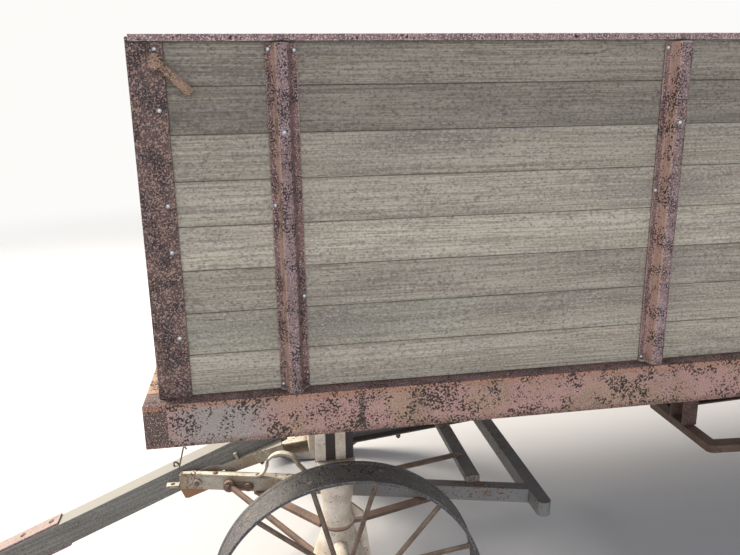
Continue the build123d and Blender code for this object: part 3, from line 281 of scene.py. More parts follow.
@dataclass(frozen=True)
class Metal:
    """Iron under rust or old paint: a mottled coat, specks, pits, painted light and dust on tops, painted shade and
    grime in corners, and rubbed edges.

    Attributes:
        name: Name of the real metal and its coat.
        coat: Main colour.
        shade: Second colour, in patches as wide as mottle.
        speck: Colour of the fine specks.
        pit: Colour inside the pits.
        bleach: Colour of the faces that look up, painted sunlight with pale dust; where it is darker than the coat,
            painted shade.
        rubbed: Colour of the edges.
        mottle: Width of a patch.
        speck_size: Width of a speck.
        speck_share: How much is specked, from 0 to 1.
        pit_size: Width of a pit.
        pit_share: How much is pitted, from 0 to 1.
        top_light_and_dust_share: How strongly the tops take that colour.
        rub: How strongly the edges are rubbed.
        shade_and_dirt: How strongly painted shade and grime darken the corners.
        shade_and_dirt_reach: How far the painted shade and grime reach out of a corner.
        rough: Lowest and highest roughness.
        metallic: Share of bare metal.
        relief: Height of the specks and depth of the pits.
    """

    name: str
    coat: str
    shade: str
    speck: str
    pit: str
    bleach: str
    rubbed: str
    mottle: float = 90 * MM
    speck_size: float = 4 * MM
    speck_share: float = 0.5
    pit_size: float = 5 * MM
    pit_share: float = 0.3
    top_light_and_dust_share: float = 0.4
    rub: float = 0.4
    shade_and_dirt: float = 0.6
    shade_and_dirt_reach: float = 40 * MM
    rough: tuple[float, float] = (0.6, 0.88)
    metallic: float = 0.0
    relief: float = 0.4 * MM

    def tint(self, shader: Shader) -> None:
        """Leave the coat as it is; a coat with marks of its own adds them here."""

    def cover(self, shader: Shader) -> None:
        """Leave the coat with its painted top light and dust as it is; marks that lie over those tops too are added
        here.
        """

    @cache
    def build(self) -> bpy.types.Material:
        """Make the material, once.

        Returns:
            A metal whose marks are worked out in metres on the solid.
        """
        shader = Shader(bpy.data.materials.new(self.name), self.shade)
        add = shader.add
        coords = add("TexCoord").outputs
        seed = add("Attribute", attribute_name="seed").outputs["Fac"]
        apart = add("VectorMath", {0: (9.7, 3.1, 6.3), 3: seed}, operation="SCALE")
        spot = add("VectorMath", {0: coords["Object"], 1: apart}, operation="ADD")
        mottle = add("TexNoise", {0: spot, "Scale": 1 / self.mottle, "Detail": 7.0, "Roughness": 0.65})
        patch = add("MapRange", {0: mottle, 1: 0.4, 2: 0.62})
        shader.lay((patch, 0.0, 1.0, 1.0, self.coat))
        self.tint(shader)

        # Tops get painted sunlight and hold pale dust; a top colour darker than the coat paints shade there instead
        facing = add("SeparateXYZ", {0: coords["Normal"]}).outputs[2]
        open_top = add("MapRange", {0: facing, 1: 0.35, 2: 0.95, 4: self.top_light_and_dust_share})
        top_light_and_dust_mask = add("Math", {0: open_top, 1: mottle}, operation="MULTIPLY")
        shader.lay((top_light_and_dust_mask, 0.0, 0.5, 1.0, self.bleach))
        self.cover(shader)

        # Grit is drawn coarser than real grains of rust or sand, which are too fine to show. Flecks of deep rust crowd
        # together where a slow field is high
        grit = add("TexNoise", {0: spot, "Scale": 1 / self.speck_size, "Detail": 3.0, "Roughness": 0.6})
        fleck = add("TexNoise", {0: spot, "Scale": 1 / self.pit_size, "Detail": 2.0})
        slow = add("TexNoise", {0: spot, "Scale": 1 / (12 * self.pit_size), "Detail": 4.0, "Roughness": 0.6})
        low, start = 0.66 - 0.3 * self.pit_share, 0.74 - 0.32 * self.speck_share
        crowd = add("MapRange", {0: slow, 1: low, 2: low + 0.22, 4: 0.2})
        depth = add("Math", {0: fleck, 1: crowd}, operation="ADD")
        pits = add("MapRange", {0: depth, 1: 0.68, 2: 0.72})

        # Painted shade, grime and old grease darken the corners; edges are rubbed where a rounded normal leaves the
        # flat one
        corner = add("AmbientOcclusion", {"Distance": self.shade_and_dirt_reach}, samples=4).outputs["AO"]
        soft = add("Bevel", {"Radius": 2.5 * MM}, samples=4)
        flat = add("NewGeometry").outputs["Normal"]
        same = add("VectorMath", {0: soft, 1: flat}, operation="DOT_PRODUCT")
        edge = add("MapRange", {0: same, 1: 0.995, 2: 0.9, 4: self.rub})
        edge = add("Math", {0: edge, 1: patch}, operation="MULTIPLY")
        shader.lay(
            (grit, start, start + 0.07, 1.0, self.speck),
            (pits, 0.0, 1.0, 1.0, self.pit),
            (corner, 0.75, 0.25, self.shade_and_dirt, self.pit),
            (edge, 0.0, 1.0, 1.0, self.rubbed),
        )
        height = add("Math", {0: grit, 1: pits}, operation="SUBTRACT")
        bump = add("Bump", {"Height": height, "Distance": self.relief, "Strength": 0.8})
        rough = add("MapRange", {0: grit, 3: self.rough[0], 4: self.rough[1]})
        look = {"Base Color": shader.colour, "Roughness": rough, "Normal": bump, "Metallic": self.metallic}
        add("OutputMaterial", {0: add("BsdfPrincipled", look)})
        return shader.owner


@dataclass(frozen=True)
class SillPrimer(Metal):
    """Red primer on the box frame, with a bare end block, a washed-out patch, a burnt weld and orange rims.

    Attributes:
        seam_x: Where the end block starts.
        patch_x: Middle of the washed-out patch.
        weld_x: Where the burnt weld runs down the face.
        burnt: Colour of the end block and the burn.
        washed: Colour of the washed-out patch.
        fresh: Colour of the primer where it is least faded.
        rim: Colour of the rust along the upper edge.
        rim_z: Height of the upper edge.
        foot: Colour of the rust along the lower edge.
        foot_z: Height of the lower edge.
    """

    seam_x: float = 0.0
    patch_x: float = 0.0
    weld_x: float = 0.0
    burnt: str = "#3a2d29"
    washed: str = "#8a8985"
    fresh: str = "#a27b76"
    rim: str = "#966a53"
    rim_z: float = 0.0
    foot: str = "#64473b"
    foot_z: float = 0.0

    def tint(self, shader: Shader) -> None:
        """Add the patches, the end block, the burn and the rims.

        Args:
            shader: Shader with the coat so far.
        """
        add = shader.add
        place = add("TexCoord").outputs["Object"]
        along, _, height = add("SeparateXYZ", {0: place}).outputs
        bloom = add("TexNoise", {0: place, "Scale": 6.5, "Detail": 5.0, "Roughness": 0.62})
        ragged = add("TexNoise", {0: place, "Scale": 60.0, "Detail": 6.0})
        wander = add("MapRange", {0: ragged, 3: -0.03, 4: 0.03})
        moved, steady, lifted = (
            add("Math", {0: wander, 1: share, 2: axis}, operation="MULTIPLY_ADD")
            for share, axis in ((1.0, along), (0.2, along), (0.3, height))
        )
        shader.lay((bloom, 0.46, 0.56, 0.85, self.fresh))
        marks = (  # point along, middle, half width, softness, strength, colour
            (moved, self.patch_x, 0.045, 0.07, 0.8, self.washed),
            (steady, self.weld_x, 0.004, 0.004, 0.95, self.burnt),
        )
        for point, middle, half, soft, strength, colour in marks:
            off = add("Math", {0: point, 1: middle}, operation="SUBTRACT")
            away = add("Math", {0: off}, operation="ABSOLUTE")
            shader.lay((away, half + soft, half, strength, colour))
        shader.lay(
            (along, self.seam_x, self.seam_x + 1 * MM, 0.88, self.burnt),
            (lifted, self.foot_z + 16 * MM, self.foot_z + 5 * MM, 0.75, self.foot),
            (lifted, self.rim_z - 16 * MM, self.rim_z - 6 * MM, 0.85, self.rim),
        )


@dataclass(frozen=True)
class StakeIron(Metal):
    """Rolled stakes with darker flanges, and with painted sunlight on the slanted walls that face forward and painted
    shade on those that face back.

    Attributes:
        fore_sunlit: Painted sunlight on the walls that face forward.
        aft: Painted shade on the walls that face back.
        flange: Colour of the flanges.
        wall: Outer faces of the front wall and the side walls, in x and y.
    """

    fore_sunlit: str = "#b48f7d"
    aft: str = "#694a44"
    flange: str = "#6b4c44"
    wall: tuple[float, float] = (0.0, 0.0)

    def tint(self, shader: Shader) -> None:
        """Darken the flanges by their depth, and paint sunlight on the slanted walls that face forward and shade on
        those that face back.

        Args:
            shader: Shader with the coat so far.
        """
        add = shader.add
        coords = add("TexCoord").outputs
        x, y, _ = add("SeparateXYZ", {0: coords["Object"]}).outputs
        wide = add("Math", {0: y}, operation="ABSOLUTE")
        ahead, aside = (
            add("Math", {0: axis, 1: wall}, operation="SUBTRACT") for axis, wall in zip((x, wide), self.wall)
        )
        depth = add("Math", {0: aside, 1: ahead}, operation="MAXIMUM")
        lean = add("SeparateXYZ", {0: coords["Normal"]}).outputs[0]
        # Darker flanges; painted sunlight on the forward walls, painted shade on the back ones
        shader.lay(
            (depth, 9 * MM, 5 * MM, 0.8, self.flange),
            (lean, 0.3, 0.75, 0.9, self.fore_sunlit),
            (lean, -0.3, -0.75, 0.9, self.aft),
        )


@dataclass(frozen=True)
class HoundPaint(Metal):
    """Truck paint that is chalky ahead of the axle, greyer with painted shade behind it, and rusty on the jaw plates.

    Attributes:
        axle_x: The front axle.
        damp: Painted shade on the sides behind the axle.
        rear_top_shade: Darker painted shade on the tops behind the axle.
        plate: Colour of the jaw plates.
        plate_z: Top of the jaw plates.
    """

    axle_x: float = 0.0
    damp: str = "#74787b"
    rear_top_shade: str = "#514f5b"
    plate: str = "#8a644b"
    plate_z: float = 334 * MM

    def cover(self, shader: Shader) -> None:
        """Paint shade on the rear part and colour the jaw plates.

        Args:
            shader: Shader with the coat so far.
        """
        add = shader.add
        coords = add("TexCoord").outputs
        x, _, z = add("SeparateXYZ", {0: coords["Object"]}).outputs
        lift = add("SeparateXYZ", {0: coords["Normal"]}).outputs[2]
        # Painted shade of the box behind the axle, darker on the tops
        upper = add("MapRange", {0: lift, 1: 0.4, 2: 0.8})
        rear_shade = add("Mix", {0: upper, 6: self.damp, 7: self.rear_top_shade}, data_type="RGBA")
        low = add("MapRange", {0: z, 1: self.plate_z + 2 * MM, 2: self.plate_z})
        nose = add("MapRange", {0: x, 1: self.axle_x + 0.34, 2: self.axle_x + 0.38})
        plate = add("Math", {0: low, 1: nose}, operation="MULTIPLY")
        shader.lay(
            (x, self.axle_x + 0.05, self.axle_x - 0.12, 0.85, rear_shade),
            (plate, 0.0, 1.0, 1.0, self.plate),
        )


@dataclass(frozen=True)
class CastPaint(Metal):
    """Cream paint that rust breaks along the columns' lips, with painted shade under the lips and in the yokes'
    hollows.

    Attributes:
        lips: Heights of the front and the rear columns' lips.
        lip: Height of a lip.
        rust: Colour of the rust on a lip.
        web_y: Outer face of a yoke's web, from the middle of the wagon.
        web_z: Foot of the yokes.
        web_shade: Painted shade in a yoke's web, between its posts.
    """

    lips: tuple[float, float] = (0.0, 0.0)
    lip: float = 14 * MM
    rust: str = "#8b6853"
    web_y: float = 0.0
    web_z: float = 0.0
    web_shade: str = "#3b3537"

    def tint(self, shader: Shader) -> None:
        """Colour the lips, paint the shade under them and paint shade in the webs.

        Args:
            shader: Shader with the coat so far.
        """
        add = shader.add
        place = add("TexCoord").outputs["Object"]
        x, y, z = add("SeparateXYZ", {0: place}).outputs
        lip_z = add("MapRange", {0: x, 1: -0.1, 2: 0.1, 3: self.lips[1], 4: self.lips[0]})
        over = add("Math", {0: z, 1: lip_z}, operation="SUBTRACT")
        ragged = add("TexNoise", {0: place, "Scale": 45.0, "Detail": 4.0})
        ragged = add("MapRange", {0: ragged, 3: -5 * MM, 4: 5 * MM})
        rough = add("Math", {0: over, 1: ragged}, operation="ADD")
        wide = add("Math", {0: y}, operation="ABSOLUTE")
        # The first band is rust on the lip, the second painted shade under it
        bands = (  # height over the lip, where the band starts and ends, strength, colour
            (rough, -1 * MM, 0.6 * self.lip, 0.75, self.rust),
            (over, -0.6 * self.lip, -0.5 * MM, 0.85, self.pit),
        )
        for height, start, end, strength, colour in bands:
            on = add("MapRange", {0: height, 1: start - 2 * MM, 2: start, 4: strength})
            off = add("MapRange", {0: height, 1: end + 2 * MM, 2: end})
            band = add("Math", {0: on, 1: off}, operation="MULTIPLY")
            shader.lay((band, 0.0, 1.0, 1.0, colour))
        # Painted shade in the hollow web of each yoke
        inside = add("MapRange", {0: wide, 1: self.web_y + 5 * MM, 2: self.web_y + 1 * MM})
        above = add("MapRange", {0: z, 1: self.web_z, 2: self.web_z + 1 * MM})
        hollow = add("Math", {0: inside, 1: above}, operation="MULTIPLY")
        shader.lay((hollow, 0.0, 1.0, 1.0, self.web_shade))


Finish = Wood | Metal


# Mesh helpers


def headings(path: Sequence[Vector]) -> list[Vector]:
    """Direction of a path at each of its points, from the points before and after."""
    return [path[min(i + 1, len(path) - 1)] - path[max(i - 1, 0)] for i in range(len(path))]


@dataclass
class Mould:
    """Gathers the closed solids of one piece, with a seed and a tone for each solid's finish.

    Attributes:
        points: Corners of all the solids so far.
        faces: Faces as lists of corner numbers.
        seeds: Seed of the solid that each corner belongs to.
        tones: Tone of the solid that each corner belongs to.
    """

    points: list[Vector] = field(default_factory=list)
    faces: list[list[int]] = field(default_factory=list)
    seeds: list[float] = field(default_factory=list)
    tones: list[float] = field(default_factory=list)

    def loft(self, rings: Sequence[Sequence[Vector]], seed: float = 0.0, tone: float = 0.5) -> None:
        """Skin a row of rings and cap both ends.

        Args:
            rings: Rings with equally many corners, in order.
            seed: Seed for the finish.
            tone: Lightness for the finish, from 0 to 1.
        """
        first, count = len(self.points), len(rings[0])
        for ring in rings:
            self.points.extend(ring)
        for i in range(len(rings) - 1):
            low = first + i * count
            for j in range(count):
                k = (j + 1) % count
                self.faces.append([low + j, low + k, low + count + k, low + count + j])
        last = first + (len(rings) - 1) * count
        self.faces.append([first + j for j in reversed(range(count))])
        self.faces.append([last + j for j in range(count)])
        self.seeds.extend([seed] * count * len(rings))
        self.tones.extend([tone - 0.5] * count * len(rings))

    def turned(self, foot: Vector, way: Vector, profile: Section, sides: int, seed: float = 0.0) -> None:
        """Turn a profile about an axis.

        Args:
            foot: Start of the axis.
            way: Direction of the axis.
            profile: Distance along the axis and radius, in order.
            sides: Sides round the axis.
            seed: Seed for the finish.
        """
        spin = way.normalized().to_track_quat("Z", "Y")
        corners = [(cos(tau * i / sides), sin(tau * i / sides)) for i in range(sides)]
        rings = [[foot + spin @ Vector((r * c, r * s, along)) for c, s in corners] for along, r in profile]
        self.loft(rings, seed)

    def tube(self, path: Sequence[Vector], radius: float, sides: int = 10) -> None:
        """Run a round bar along a path of points.

        Args:
            path: Points of the bar's middle line.
            radius: Radius of the bar.
            sides: Corners round the bar.
        """
        circle = [Vector((radius * cos(tau * k / sides), radius * sin(tau * k / sides), 0)) for k in range(sides)]
        spins = [way.normalized().to_track_quat("Z", "Y") for way in headings(path)]
        self.loft([[point + spin @ corner for corner in circle] for point, spin in zip(path, spins)])

    def bead(self, start: Vector, end: Vector, radius: float, seed: float) -> None:
        """Lay a weld bead: a bar that swells and narrows with each ripple.

        Args:
            start: Start of the weld.
            end: End of the weld.
            radius: Radius of the bead.
            seed: Seed for the finish.
        """
        run = end - start
        steps = 2 * max(4, round(run.length / (1.6 * radius)))
        swell = [0.25 if i in (0, steps) else 1 - 0.2 * (i % 2) for i in range(steps + 1)]
        profile = [(run.length * i / steps, radius * s) for i, s in enumerate(swell)]
        self.turned(start, run, profile, sides=10, seed=seed)

    def flat(self, path: Sequence[Vector], across: Vector, width: float, thick: float, seed: float) -> None:
        """Bend a flat bar with eased edges along a path.

        Args:
            path: Points of the bar's middle line.
            across: Direction of the bar's width.
            width: Width of the bar.
            thick: Thickness of the bar.
            seed: Seed for the finish.
        """
        ease = min(width, thick) / 4
        wide, deep = width / 2, thick / 2
        corners = [(wide, deep - ease), (wide - ease, deep), (ease - wide, deep), (-wide, deep - ease)]
        corners += [(-a, -b) for a, b in corners]
        lifts = [way.cross(across).normalized() for way in headings(path)]
        self.loft([[point + across * a + lift * b for a, b in corners] for point, lift in zip(path, lifts)], seed)

    def piece(self, name: str, body: str, finish: Finish, slot: Slot = Slot.IRON) -> bpy.types.Object:
        """Turn the solids into one object that rides on a body.

        Args:
            name: Name of the piece.
            body: CAD body that carries it.
            finish: Its finish.
            slot: The record's slot for it; not used.

        Returns:
            The object, with its sharp edges marked.
        """
        mesh = bpy.data.meshes.new(name)
        mesh.from_pydata(self.points, [], self.faces)
        edit = bmesh.new()
        edit.from_mesh(mesh)
        bmesh.ops.recalc_face_normals(edit, faces=edit.faces)
        edit.to_mesh(mesh)
        edit.free()
        for label, values in (("seed", self.seeds), ("tone", self.tones)):
            mesh.attributes.new(label, "FLOAT", "POINT").data.foreach_set("value", values)
        mesh.polygons.foreach_set("use_smooth", [True] * len(mesh.polygons))
        mesh.set_sharp_from_angle(angle=radians(34))
        mesh.materials.append(finish.build())
        made = bpy.data.objects.new(name, mesh)
        bpy.context.scene.collection.objects.link(made)
        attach(made, body)
        return made


def eased(corners: Section, radii: Sequence[float], steps: int = 4) -> Section:
    """Round the corners of a closed outline.

    Args:
        corners: Corners in order.
        radii: Distance from each corner at which its bend starts.
        steps: Pieces in each bend.

    Returns:
        The outline with its bends.
    """
    bent = []
    for i, (corner, reach) in enumerate(zip(corners, radii)):
        here = Vector(corner)
        before = Vector(corners[i - 1]) - here
        after = Vector(corners[(i + 1) % len(corners)]) - here
        start, end = here + before.normalized() * reach, here + after.normalized() * reach
        for k in range(steps + 1):
            t = k / steps
            bent.append(tuple((1 - t) ** 2 * start + 2 * t * (1 - t) * here + t * t * end))
    return bent


def bolt_head(radius: float, height: float, washer: float = 0.0) -> Section:
    """Profile of a domed bolt head on a washer.

    Args:
        radius: Radius of the head.
        height: Height of the dome.
        washer: Radius of the washer, or 0 for none.

    Returns:
        Distances along the bolt and radii, starting a little under the surface.
    """
    sunk, plate = -1 * MM, 1.5 * MM
    base = plate if washer else 0.0
    profile = [(sunk, washer), (plate - 0.3 * MM, washer), (plate, washer - 0.5 * MM)] if washer else [(sunk, radius)]
    dome = [(base + height * sin(a), radius * cos(a)) for a in (radians(d) for d in (0, 20, 40, 60, 78))]
    return [*profile, *dome]


def nut(radius: float, height: float) -> Section:
    """Profile of a nut with a chamfered top, and the bolt's end standing out of it.

    Args:
        radius: Radius over the nut's corners.
        height: Height of the nut.

    Returns:
        Distances along the bolt and radii, starting a little under the surface.
    """
    body = [(-1 * MM, radius), (height - 1 * MM, radius), (height, radius * 0.9)]
    bolt = radius * 0.55
    return [*body, (height, bolt), (height + 3 * MM, bolt), (height + 4 * MM, radius * 0.45)]


def dress(name: str, finish: Finish, ease: float = 1.5 * MM, clamp: bool = False) -> bpy.types.Object:
    """Give a CAD node its finish and eased edges.

    Args:
        name: Name of the CAD node.
        finish: Its finish.
        ease: Width of its eased edges.
        clamp: True to narrow the eased edges where two of them would meet.

    Returns:
        The node's object.
    """
    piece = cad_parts[name]
    piece.data.materials.clear()
    piece.data.materials.append(finish.build())
    piece.data.polygons.foreach_set("use_smooth", [True] * len(piece.data.polygons))
    steps = (
        ("weld", "WELD", {"merge_threshold": 0.01 * MM}),
        ("flats", "DECIMATE", {"decimate_type": "DISSOLVE", "angle_limit": radians(0.5)}),
        ("ease", "BEVEL", {"width": ease, "segments": 2, "limit_method": "ANGLE", "angle_limit": radians(35)}),
        ("crisp", "EDGE_SPLIT", {"split_angle": radians(40), "use_edge_sharp": False}),
        ("normals", "WEIGHTED_NORMAL", {"keep_sharp": True}),
    )
    for label, kind, settings in steps:
        modifier = piece.modifiers.new(label, kind)
        for setting, value in settings.items():
            setattr(modifier, setting, value)
    piece.modifiers["ease"].use_clamp_overlap = clamp
    return piece


NUT = nut(9 * MM, 8 * MM)  # The trucks' common nut
HEX = 6  # Sides of a nut


# Finishes

SILL_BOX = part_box("side_sills")
FRONT_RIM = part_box("wheel_fl_rim")
AXLE_X = (FRONT_RIM[0].x + FRONT_RIM[1].x) / 2
FAR_AHEAD = 10.0
DROP_DEG = 20.6325  # The tongue's slope while it rests on the ground
DROP = radians(DROP_DEG)

WEATHERED = Wood(  # Planed siding left bare outdoors: grey fibres over olive-brown
    "siding_sawn_pine_weathered_grey",
    shade="#82796c",
    face="#a69d8d",
    pale="#b5b2a7",
    stain="#675f5b",
    tinge="#868674",
    late_wood=5 * MM,
    stain_share=0.42,
)
ACROSS = replace(WEATHERED, name="end_siding_sawn_pine_weathered_grey", turn=(0, 0, 90))  # Its grain runs across
FLOORING = Wood(  # Rough floor planks: browner and dirtier, trodden by loads
    "floor_sawn_pine_trodden",
    shade="#655848",
    face="#85775f",
    pale="#9d8f78",
    stain="#554a3c",
    tinge="#7a6a52",
    late_wood=9 * MM,
    stain_share=0.5,
)
JOISTS = Wood(  # Joists and bolsters lie across the wagon in the dry
    "joist_sawn_oak_aged",
    shade="#54493e",
    face="#766a5b",
    pale="#8d8172",
    stain="#40372f",
    tinge="#6d5a48",
    turn=(0, 0, 90),
)
TONGUE_WOOD = Wood(  # The tongue's timber, silver-grey from lying outdoors, coloured dark as its sides look in shade: painted shade, with painted sunlight on its top
    "tongue_sawn_oak_silver_grey",
    shade="#65635f",
    face="#7b7975",
    pale="#95938e",
    stain="#4f4b48",
    tinge="#706f6a",
    turn=(0, -DROP_DEG, 0),
    top_light_and_dust_share=0.85,
    relief=0.8 * MM,
)
# Painted shade: the long sills and the reach are coloured as dark as they look under the box
SILLS = Wood(  # Long sills and the reach run fore and aft
    "long_timber_sawn_oak_aged",
    shade="#463e37",
    face="#5c534a",
    pale="#71675c",
    stain="#39322c",
    tinge="#54493f",
)
RUSTED = Metal(  # Rolled iron with an old brown oxide, crusty between paler specks
    "rolled_iron_old_brown_rust",
    coat="#6b5249",
    shade="#4f3e3a",
    speck="#8f7466",
    pit="#32282a",
    bleach="#a08c84",
    rubbed="#a08878",
    mottle=60 * MM,
    speck_size=3 * MM,
    speck_share=0.6,
    pit_share=0.5,
)
POSTED = Metal(  # Angle iron of the posts: grit of dark and pale rust all over, like coarse sandpaper
    "angle_iron_gritty_purple_brown_rust",
    coat="#59433e",
    shade="#493a3a",
    speck="#9c8174",
    pit="#20181b",
    bleach="#a99a98",
    rubbed="#b09c92",
    mottle=35 * MM,
    speck_size=3 * MM,
    speck_share=0.72,
    pit_size=3.1 * MM,
    pit_share=1.0,
)
CROWNED = StakeIron(  # Pressed stakes: rust over purple-grey primer that is left on their crowns
    "pressed_iron_purple_primer_rusting",
    coat="#8b7476",
    shade="#725d59",
    speck="#bba7a3",
    pit="#2c2025",
    bleach="#bcaeac",
    rubbed="#cdb8ad",
    mottle=75 * MM,
    speck_size=2.4 * MM,
    speck_share=0.6,
    pit_size=3.2 * MM,
    pit_share=1.0,
    top_light_and_dust_share=0.6,
    rub=0.8,
    wall=(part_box("front_wall")[1].x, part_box("side_wall_left")[1].y),
)
RAILED = Metal(  # Folded cap of the box: dark purple rust with chalk and a painted highlight along its upper edge
    "folded_sheet_purple_rust_chalky_edge",
    coat="#8a6c6d",
    shade="#655054",
    speck="#cbb7b1",
    pit="#21181b",
    bleach="#ddd1cd",
    rubbed="#e2d5cf",
    mottle=30 * MM,
    speck_size=3 * MM,
    speck_share=0.65,
    pit_share=0.5,
    top_light_and_dust_share=0.9,
    rub=0.8,
)
STRAPPED = replace(  # The hitch straps, paler than the rail but duller, with painted sunlight on their tops
    RAILED,
    name="flat_bar_purple_rust_scoured",
    bleach="#a3938b",
    speck_share=0.5,
    top_light_and_dust_share=0.75,
)
HANDLED = Metal(  # The rods' handles, polished salmon brown by hands
    "forged_rod_salmon_brown_rust",
    coat="#8f7260",
    shade="#74604f",
    speck="#bd9b89",
    pit="#3c2b22",
    bleach="#b08f7c",
    rubbed="#b58f78",
    mottle=20 * MM,
    speck_size=2.4 * MM,
    speck_share=0.6,
    pit_size=3.5 * MM,
    pit_share=0.7,
    shade_and_dirt=0.8,
)
PRIMER = SillPrimer(  # Red oxide primer, faded pink over tan, eaten by flecks of deep rust; its ledge tops get painted shade
    "folded_steel_faded_red_primer",
    coat="#9f816d",
    shade="#8a705d",
    speck="#bca397",
    pit="#31241f",
    # Painted shade on the ledge tops under the wall
    bleach="#5f4a4e",
    rubbed="#a47a62",
    mottle=70 * MM,
    speck_size=2.6 * MM,
    speck_share=0.6,
    pit_size=4 * MM,
    pit_share=0.95,
    top_light_and_dust_share=0.9,
    relief=0.6 * MM,
    seam_x=AXLE_X + 372.7 * MM,
    patch_x=AXLE_X + 275 * MM,
    weld_x=AXLE_X - 2 * MM,
    rim_z=SILL_BOX[1].z,
    foot_z=SILL_BOX[0].z,
)
END_PRIMER = replace(  # The end sills' ledges get painted sunlight, a pale orange tan
    PRIMER,
    name="folded_steel_end_sill_sun_bleached",
    bleach="#b8977f",
    seam_x=FAR_AHEAD,
    patch_x=FAR_AHEAD,
    weld_x=FAR_AHEAD,
)
CREAM = HoundPaint(  # Truck paint weathered to a chalky cream, tan where it is thin, with strong painted sunlight on its tops
    "channel_steel_chalky_cream_paint",
    coat="#aaa396",
    shade="#8f7f6a",
    speck="#776657",
    pit="#6f533e",
    bleach="#e6e0d2",
    rubbed="#7d6a5c",
    mottle=70 * MM,
    speck_size=3.5 * MM,
    speck_share=0.45,
    pit_size=9 * MM,
    pit_share=0.62,
    top_light_and_dust_share=0.85,
    rub=0.5,
    axle_x=AXLE_X,
)
CAST = CastPaint(  # Sand-cast columns with the mould's grain under worn cream paint, rusty at their lips, with painted shade under the lips, in the corners and in the yokes' webs
    "sand_cast_iron_worn_cream_paint",
    coat="#e6ddd0",
    shade="#c8b7a3",
    speck="#8c7867",
    pit="#4a3b34",
    bleach="#e8e1d3",
    rubbed="#8a7464",
    mottle=55 * MM,
    speck_size=2.2 * MM,
    speck_share=0.36,
    pit_size=7 * MM,
    shade_and_dirt=0.95,
    shade_and_dirt_reach=80 * MM,
    lips=(411.6 * MM, 462.4 * MM),
    web_y=451 * MM,
    web_z=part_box("front_yokes")[0].z,
)
BROWN = Metal(  # Bent bars of the rear frame, dark brown in the shade
    "angle_iron_dark_brown_rust",
    coat="#7a6153",
    shade="#5a483f",
    speck="#937a6c",
    pit="#2c2422",
    bleach="#8f7d74",
    rubbed="#8d786d",
    pit_size=6 * MM,
)
WHEEL = Metal(  # Wheel rims: pitted rolled steel, coloured dark as the box's shade on them: painted shade, with chalky dust and a little painted sunlight on what faces the sky
    "rolled_steel_rim_dark_worn",
    coat="#4e4c50",
    shade="#36353c",
    speck="#a39e96",
    pit="#232025",
    bleach="#d2cdc0",
    rubbed="#c2baab",
    mottle=60 * MM,
    speck_size=3.2 * MM,
    pit_share=0.7,
    top_light_and_dust_share=0.12,
    rub=0.7,
    rough=(0.5, 0.82),
)
SPOKED = Metal(  # Spokes and cast hubs, more rust than paint
    "drawn_rod_and_cast_hub_rusty",
    coat="#776659",
    shade="#5a483e",
    speck="#978778",
    pit="#3c2f29",
    bleach="#b9ab9a",
    rubbed="#b0a596",
    mottle=40 * MM,
    speck_size=2.5 * MM,
    pit_share=0.4,
)
ZINC = Metal(  # Later bolts with a dull zinc coat
    "zinc_plated_bolt_dull",
    coat="#b9bcc0",
    shade="#9aa0a6",
    speck="#8b8a88",
    pit="#75706c",
    bleach="#d5d8da",
    rubbed="#d8dadd",
    mottle=12 * MM,
    speck_size=1.5 * MM,
    speck_share=0.25,
    pit_size=6 * MM,
    pit_share=0.1,
    top_light_and_dust_share=0.2,
    rough=(0.35, 0.55),
    metallic=0.85,
    relief=0.1 * MM,
)


# Box


